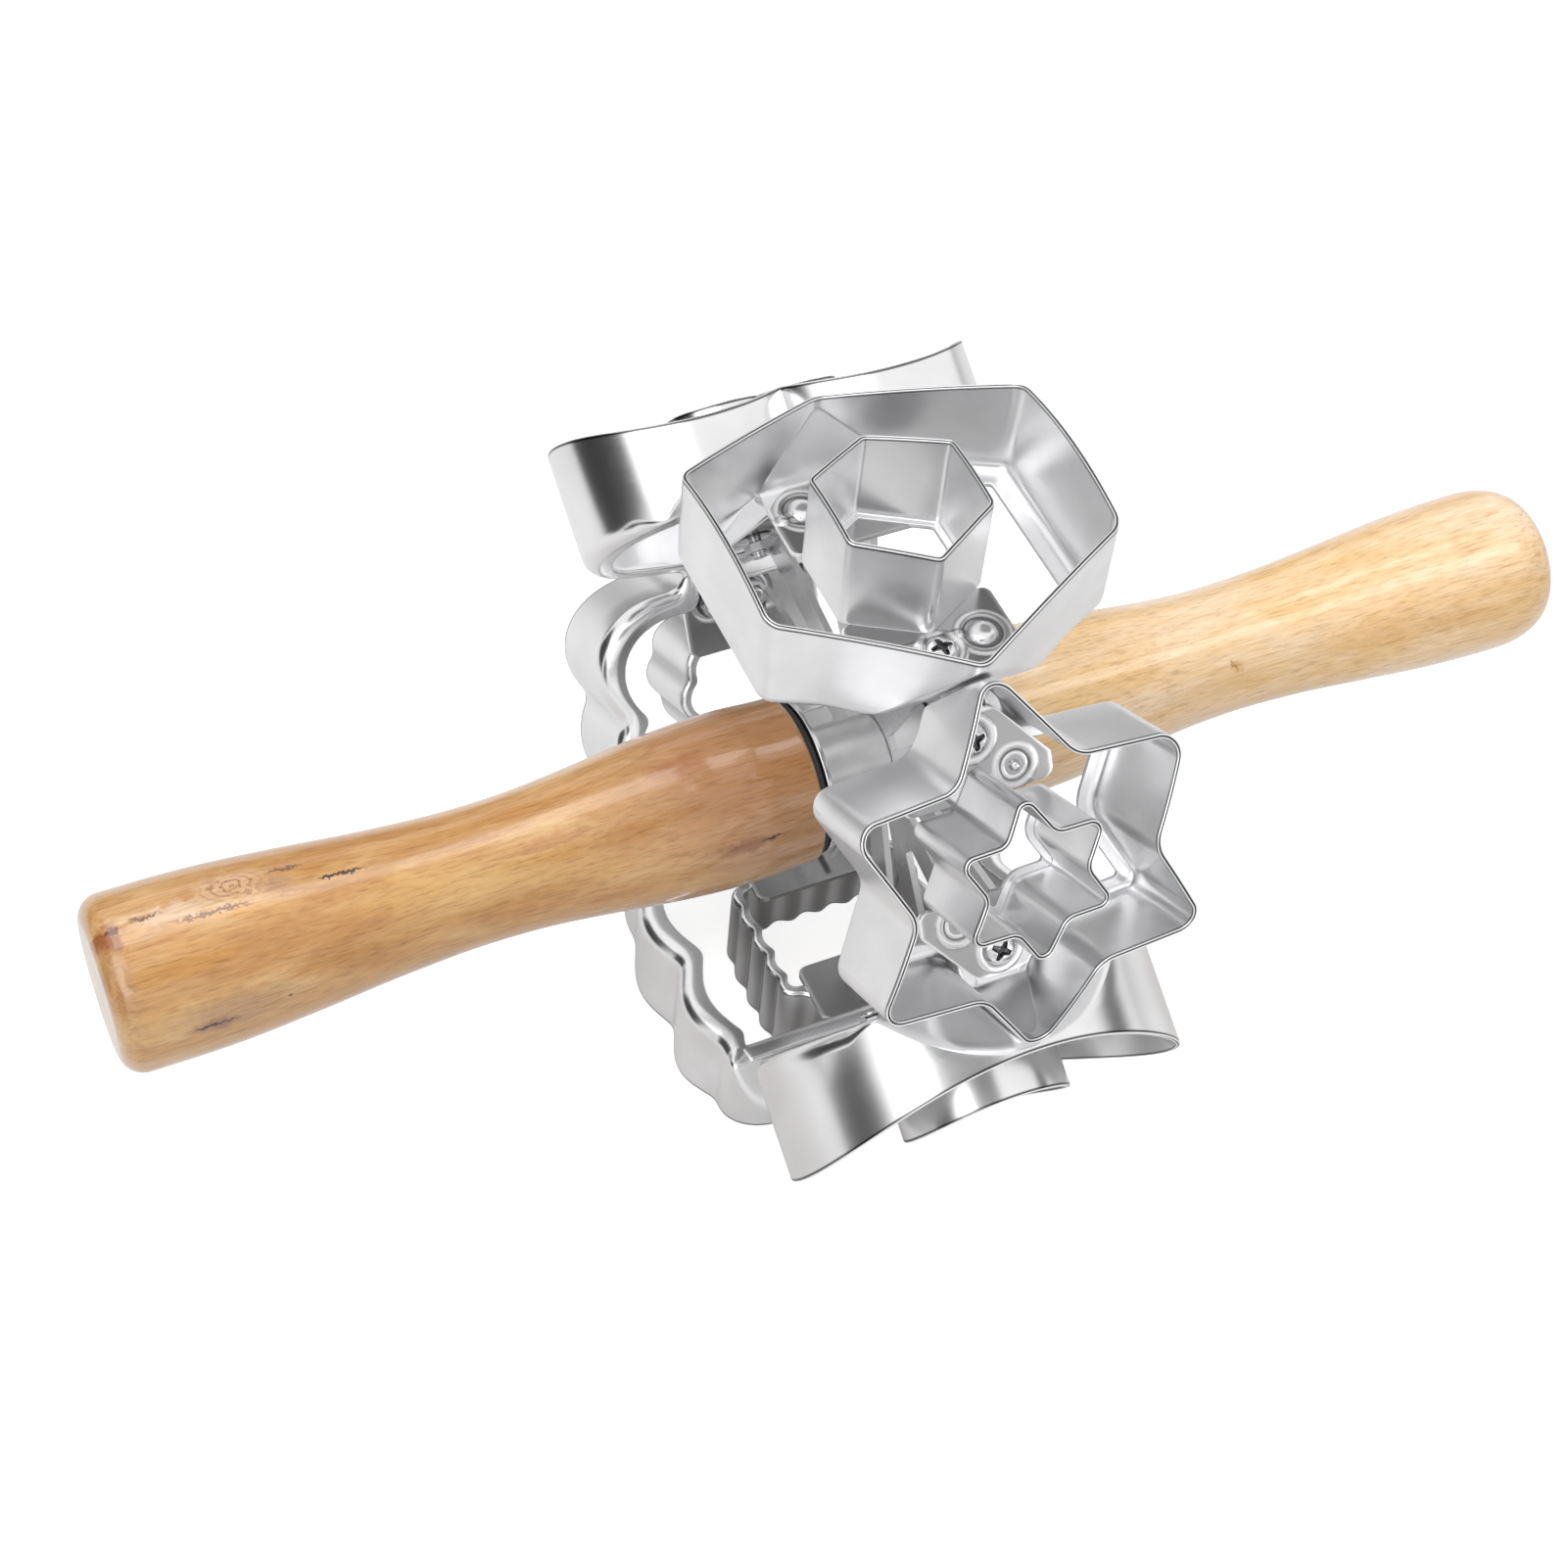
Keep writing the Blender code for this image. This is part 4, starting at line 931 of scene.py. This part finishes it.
def brushed_metal(n, colour, marks, roughness, spread, depth):
    """Metal whose roughness and fine relief both go with the marks."""
    rough = n.add("MapRange", marks, 0.0, 1.0, roughness * spread[0], roughness * spread[1])
    relief = n.add("Bump", Strength=depth, Distance=0.00002, Height=marks)
    n.shade(Base_Color=colour, Roughness=rough, Normal=relief, Metallic=1.0)
    return n.owner


def steel_material(name, tone, roughness, streaks):
    """Bright sheet steel: fine rolling grain along the sheet and soft patches of polish.

    Where the stored shade is above 0 the steel is painted nearly black as painted shade, and where it is
    below 0 nearly white as a painted highlight.
    """
    n = new_material(name)
    sheet = n.add("Attribute", out="Vector", attribute_name="sheet")
    patches = n.add("TexNoise", Vector=object_place(n), Scale=90.0, Detail=3.0, Roughness=0.55)
    colour = n.ramp(patches, [(0.3, grey(tone * 0.93)), (0.7, grey(tone))], True)
    shade = n.add("SeparateXYZ", sheet, out="Z")
    # Painted highlight towards near white where the stored shade is below 0, painted shade towards near black
    # where it is above 0
    colour = mix_colour(n, times(n, shade, -1.0, True), colour, (0.97, 0.97, 0.97))
    colour = mix_colour(n, times(n, shade, 0.93, True), colour, (0.03, 0.03, 0.035))
    grain = stretched_noise(n, sheet, (40.0, 9000.0, 1.0), 3.0)
    return brushed_metal(n, colour, grain, roughness, (0.85, 1.25), streaks)


def plain_steel(name, tone, roughness, scale, depth=0.06):
    """Turned or stamped steel with fine marks round the axle, of the given depth, and cloudy polish."""
    n = new_material(name)
    place = object_place(n)
    clouds = n.add("TexNoise", Vector=place, Scale=160.0, Detail=3.0, Roughness=0.55)
    colour = n.ramp(clouds, [(0.3, grey(tone * 0.9)), (0.7, grey(tone))], True)
    marks = stretched_noise(n, place, scale, 4.0)
    return brushed_metal(n, colour, marks, roughness, (0.8, 1.3), depth)


def dull_material(name, low, high, roughness, scale):
    """Rubber or nylon: two close tones, with a fine pebbled surface."""
    n = new_material(name)
    noise = n.add("TexNoise", Vector=object_place(n), Scale=scale, Detail=4.0, Roughness=0.6)
    relief = n.add("Bump", Strength=0.3, Distance=0.00005, Height=noise)
    n.shade(Base_Color=n.ramp(noise, [(0.3, low), (0.7, high)]), Normal=relief, Roughness=roughness)
    return n.owner


def spot(n, vector, centre, reach, inner, outer):
    """Soft mask, 1 inside an ellipsoid about a point and 0 outside it, and the distance in reaches."""
    moved = n.add("VectorMath", vector, centre, operation="SUBTRACT")
    scaled = n.add("VectorMath", moved, reach, operation="DIVIDE")
    length = n.add("VectorMath", scaled, operation="LENGTH", out="Value")
    return n.add("MapRange", length, inner, outer, 1.0, 0.0, interpolation_type="SMOOTHSTEP"), length


def unrolled_place(n, place):
    """Place on a handle's surface: distance along the axle, and the angle about it times a radius."""
    x, y, z = [n.add("SeparateXYZ", place, out=axis) for axis in "XYZ"]
    angle = n.add("Math", times(n, y, -1.0), z, operation="ARCTAN2")
    return n.add("CombineXYZ", x, times(n, angle, UNROLLED_RADIUS))


def add_marks(n, place, colour, marks):
    """Stains, knots of fine rings, and cracks, laid on the handle's unrolled surface one over another.

    Each is an ellipse whose points are swayed by noise, by up to a share of its half width.
    """
    unrolled = unrolled_place(n, place)
    wander = stretched_noise(n, place, (420.0, 420.0, 420.0), 3.0, 0.65)
    fine_wander = stretched_noise(n, place, (1300.0, 900.0, 900.0), 2.0, 0.6)
    sways = {"stain": (1.1, wander), "knot": (0.35, wander), "crack": (2.4, fine_wander)}
    for kind, along, degrees, half_along, half_around, tone, strength in marks:
        share, noise = sways[kind]
        shift = min(share * half_around, MOST_SWAY) * MM
        sway = n.add("Math", noise, 2 * shift, -shift, operation="MULTIPLY_ADD")
        moved = n.add("VectorMath", unrolled, sway, operation="ADD")
        middle = (along * MM, math.radians(degrees) * UNROLLED_RADIUS, 0.0)
        reach = (half_along * MM, half_around * MM, 1.0)
        mask, distance = spot(n, moved, middle, reach, 0.55 if kind == "crack" else 0.25, 1.0)
        if kind == "knot":
            rings = n.add("Math", times(n, distance, 30.0), operation="SINE")
            mask = times(n, mask, n.ramp(rings, [(0.35, (0, 0, 0)), (1.0, (1, 1, 1))]))
        colour = mix_colour(n, times(n, mask, strength), colour, tone)
    return colour


def wood_material(name, tones, line_tones, pith, seed, marks):
    """Lacquered wood with its grain along the axle.

    Broad patches choose between three tones and growth rings about a distant pith darken them. Short
    fine lines along the axle lie over both and over the marks: dark grain, and light lines that are
    pale grain whose bluish whitening is a painted glint, with dark pores. A clear coat with a slight
    ripple lies on top.
    """
    n = new_material(name)
    place = object_place(n)
    seeded = n.add("VectorMath", place, (seed, seed * 0.7, seed * 1.3), operation="ADD")
    broad = stretched_noise(n, seeded, (38.0, 120.0, 120.0), 3.0, 0.55, 0.5)
    colour = n.ramp(broad, [(0.37, tones[0]), (0.50, tones[1]), (0.63, tones[2])], True)
    centred = n.add("VectorMath", place, pith, operation="SUBTRACT")
    flattened = n.add("VectorMath", centred, (0.05, 1.0, 1.0), operation="MULTIPLY")
    rings = n.add("TexWave", out="Fac", wave_type="RINGS", rings_direction="SPHERICAL", wave_profile="SAW",
                  Vector=flattened, Scale=150.0, Distortion=1.2, Detail=2.0, **{"Detail Scale": 0.8})
    late = n.ramp(rings, [(0.55, (0, 0, 0)), (0.93, (1, 1, 1)), (1.0, (0.2, 0.2, 0.2))])
    colour = mix_colour(n, times(n, late, 0.16), colour, line_tones[0])
    colour = add_marks(n, place, colour, marks)

    # Dark lines are grain; the light bluish lines are pale grain whitened as painted glints on the fibres
    lines = stretched_noise(n, seeded, (210.0, 2300.0, 2300.0), 3.0, 0.62)
    grain_and_glint_tone = n.ramp(lines, [(0.32, (0.70, 0.60, 0.50)), (0.47, (0.97, 0.96, 0.95)),
                               (0.62, (1.06, 1.08, 1.14)), (0.75, (1.16, 1.22, 1.40))])
    colour = mix_colour(n, 0.72, colour, grain_and_glint_tone, "MULTIPLY")
    pores = stretched_noise(n, seeded, (330.0, 3600.0, 3600.0), 2.0, 0.5)
    pore_mask = n.ramp(pores, [(0.62, (0, 0, 0)), (0.70, (1, 1, 1))])
    colour = mix_colour(n, times(n, pore_mask, 0.40), colour, line_tones[1])
    ripples = stretched_noise(n, seeded, (60.0, 260.0, 260.0), 3.0, 0.6)
    n.shade(Base_Color=colour, Roughness=n.add("MapRange", lines, 0.0, 1.0, 0.22, 0.40),
            Normal=n.add("Bump", Strength=0.35, Distance=0.00006, Height=lines),
            Coat_Normal=n.add("Bump", Strength=0.12, Distance=0.00008, Height=ripples),
            Coat_Weight=0.9, Coat_Roughness=0.09, Specular_IOR_Level=0.5)
    return n.owner


# Camera, light and floor

def add_camera():
    """Camera at the photo's viewing angle."""
    data = bpy.data.cameras.new("camera")
    data.lens = CAMERA_LENS
    data.sensor_width = 36.0
    data.clip_start = 0.01
    camera = bpy.data.objects.new("camera", data)
    camera.location = CAMERA_PLACE
    camera.rotation_euler = [math.radians(value) for value in CAMERA_TURN]
    bpy.context.scene.collection.objects.link(camera)
    bpy.context.scene.camera = camera


def add_lamp(name, place, target, width, depth, radiance, lit=None):
    """Soft box that faces a target, with its width along the axle's direction.

    Its power is the radiance times pi times its area. Where a collection is given, only its pieces are
    lit by the lamp.
    """
    data = bpy.data.lights.new(name, "AREA")
    data.shape = "RECTANGLE"
    data.size = width
    data.size_y = depth
    data.energy = radiance * math.pi * width * depth
    back = unit(np.subtract(place, target))
    side = unit(np.array([1.0, 0.0, 0.0]) - back[0] * back)
    lamp = bpy.data.objects.new(name, data)
    lamp.location = place
    lamp.rotation_euler = Matrix(np.stack([side, np.cross(back, side), back], axis=-1).tolist()).to_euler()
    bpy.context.scene.collection.objects.link(lamp)
    if lit:
        lamp.light_linking.receiver_collection = lit


def view_factor(n):
    """1 for camera, mirror and see-through rays, 0 for the rest: the greatest of the three flags."""
    flags = [n.add("LightPath", out="Is " + ray + " Ray") for ray in ("Camera", "Glossy", "Transmission")]
    return n.add("Math", n.add("Math", *flags[:2], operation="MAXIMUM"), flags[2], operation="MAXIMUM")


def add_world(ambient):
    """White studio that lights at the ambient strength, and is full white where it is seen or mirrored."""
    n = Nodes(bpy.data.worlds.new("studio"))
    n.tree.nodes.clear()
    low, high = [n.add("Background", (1.0, 1.0, 1.0), strength) for strength in (ambient, 1.0)]
    out = n.tree.nodes.new("ShaderNodeOutputWorld")
    n.put(out.inputs["Surface"], n.add("MixShader", view_factor(n), low, high))
    bpy.context.scene.world = n.owner


def make_panel(name, corners, material):
    """Flat panel of four corners that is stage, and no part of the roller."""
    panel = make_object(name, np.array(corners), [np.array([[0, 1, 2, 3]])], material, smooth=False)
    return panel


def add_floor(height, seen, mirrored):
    """Pale floor that keeps the roller's shadow, with a glow for camera rays and one for mirror rays."""
    n = new_material("floor_white")
    n.shade(Base_Color=(0.76, 0.76, 0.76), Roughness=0.9)
    camera = n.add("LightPath", out="Is Camera Ray")
    mirror = times(n, view_factor(n), mirrored)
    strength = n.add("Math", camera, seen - mirrored, mirror, operation="MULTIPLY_ADD")
    both = n.add("AddShader", n.shader.outputs[0], n.add("Emission", Strength=strength))
    n.put(n.tree.nodes["Material Output"].inputs["Surface"], both)
    size = 4.0
    corners = [(-size, -size, height), (size, -size, height), (size, size, height), (-size, size, height)]
    return make_panel("floor", corners, n.owner)


def add_card(name, centre, facing, width, height, tone):
    """Grey card beside the roller, seen only in the steel."""
    facing = unit(facing)
    side = unit(np.cross((0.0, 0.0, 1.0), facing))
    across, up = side * width / 2, np.cross(facing, side) * height / 2
    corners = [centre + across * a + up * b for a, b in ((-1, -1), (1, -1), (1, 1), (-1, 1))]
    n = new_material(name + "_grey")
    n.shade(Base_Color=(tone, tone, tone), Roughness=0.8)
    card = make_panel(name, corners, n.owner)
    card.visible_camera = False
    card.visible_shadow = False
    card.visible_diffuse = False


# Cards as (name, centre, facing, width, height, tone)
CARDS = (
    ("camera_card", (-0.13, -0.32, 0.42), (0.3, 0.5, -0.8), 0.34, 0.22, 0.16),
    ("left_card", (-0.28, 0.13, 0.085), (1.0, -0.25, 0.0), 0.26, 0.26, 0.02),
    ("right_card", (0.35, -0.12, 0.086), (-1.0, 0.3, 0.0), 0.16, 0.09, 0.03),
    ("low_left_card", (-0.29, -0.10, 0.030), (1.0, 0.25, 0.0), 0.11, 0.15, 0.02),
    ("high_card", (0.20, 0.36, 0.50), (-0.307, -0.556, -0.773), 0.55, 0.34, 0.36),
    ("back_card", (0.05, 0.75, 0.10), (0.0, -1.0, 0.0), 1.3, 0.33, 0.42),
)


def light_studio(lit):
    """Floor, lamps and cards; two of the lamps light only the collection of wood and floor."""
    bpy.context.scene.view_settings.view_transform = "Standard"
    add_camera()
    add_world(0.42)
    lit.objects.link(add_floor(-EDGE_RADIUS - 0.0002, 0.74, 0.02))
    add_lamp("key_lamp", (-0.44, -0.37, 0.69), (0, 0, 0), 0.8, 0.8, 1.9)
    add_lamp("top_lamp", (0.05, 0.36, 0.75), (0, 0, 0), 0.9, 0.6, 2.3, lit)
    add_lamp("strip_lamp", (0.46, -0.27, 0.70), (0.08, 0, 0), 0.50, 0.19, 2.7, lit)
    for card in CARDS:
        add_card(*card)


def dress_nodes(frame, names, material):
    """Give CAD pieces that keep their own shape a procedural material."""
    for name in names:
        for slot in frame["nodes"][name].material_slots:
            slot.material = material


def build_wheel():
    """Six cutters with their hole cutters, ears, screws and rivets."""
    bright = steel_material("bright_sheet_steel", 0.90, 0.21, 0.05)
    soft = steel_material("soft_sheet_steel", 0.93, 0.29, 0.03)
    # Half-tone steel for the ears: painted shade, darker than the cutters' steel of like roughness
    shaded_ear_steel = steel_material("shaded_ear_sheet_steel", 0.46, 0.20, 0.03)
    fastener = steel_material("fastener_steel", 0.80, 0.14, 0.02)
    for index, shape in enumerate(SHAPES):
        sheet = soft if shape in ("hexagon", "star") else bright
        for hole_cutter in (False, True):
            build_cutter(shape, index, sheet, hole_cutter)
        for side in (-1, 1):
            build_ear(shape, side, index, shaded_ear_steel)
            build_screw(shape, side, index, fastener, 0.5 + 0.9 * index + 0.4 * side)
            build_rivet(shape, side, index, bright if shape == "hexagon" else fastener)


def build_axle(frame):
    """Tube, washers and black rings, and the finish of the rod, the spider and the bushes."""
    turned = plain_steel("turned_steel", 0.76, 0.25, (900.0, 12.0, 12.0), 0.012)
    brushed = plain_steel("brushed_tube_steel", 0.80, 0.42, (700.0, 12.0, 12.0), 0.006)
    plate = plain_steel("plate_steel", 0.70, 0.28, (300.0, 60.0, 900.0))
    rubber = dull_material("black_rubber", (0.018, 0.018, 0.018), (0.035, 0.035, 0.035), 0.6, 2500.0)
    nylon = dull_material("white_nylon", (0.80, 0.79, 0.75), (0.86, 0.85, 0.82), 0.45, 1800.0)
    tube = ring_section(6.3, 7.5, -11.3, 11.3, 0.25)
    washer = ring_section(4.3, 14.0, 11.6, 12.6, 0.3)
    cushion = ring_section(4.3, 13.8, 12.9, 13.7, 0.35)
    build_ring("hub_sleeve", "hub_tube", "wheel", tube, 1, brushed)
    for label, side in (("left", -1), ("right", 1)):
        build_ring("face_washer_" + label, "steel_washer_" + label, "handles",
                   washer, side, turned)
        build_ring("cushion_ring_" + label, "cushion_washer_" + label, "handles",
                   cushion, side, rubber)
    dress_nodes(frame, ["axle_rod"], turned)
    dress_nodes(frame, ["hub_spider"], plate)
    dress_nodes(frame, ["bush_left", "bush_right"], nylon)


def build_handles(lit):
    """Amber handle on the left and cream handle, with its rounder end, on the right."""
    amber = wood_material(
        "amber_wood", ((0.54, 0.255, 0.066), (0.62, 0.33, 0.108), (0.71, 0.43, 0.180)),
        ((0.40, 0.16, 0.05), (0.36, 0.15, 0.05)), (0.0, 0.030, -0.045), 0.0, AMBER_MARKS)
    cream = wood_material(
        "cream_wood", ((0.90, 0.58, 0.25), (0.96, 0.66, 0.36), (0.97, 0.72, 0.46)),
        ((0.70, 0.40, 0.15), (0.62, 0.33, 0.11)), (0.0, -0.040, -0.050), 3.7, CREAM_MARKS)
    lit.objects.link(build_handle("left", -1, amber, 4.0))
    lit.objects.link(build_handle("right", 1, cream, 9.0))


def main():
    """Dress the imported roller."""
    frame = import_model()
    lit = bpy.data.collections.new("wood_and_floor")
    light_studio(lit)
    build_wheel()
    build_axle(frame)
    build_handles(lit)


main()
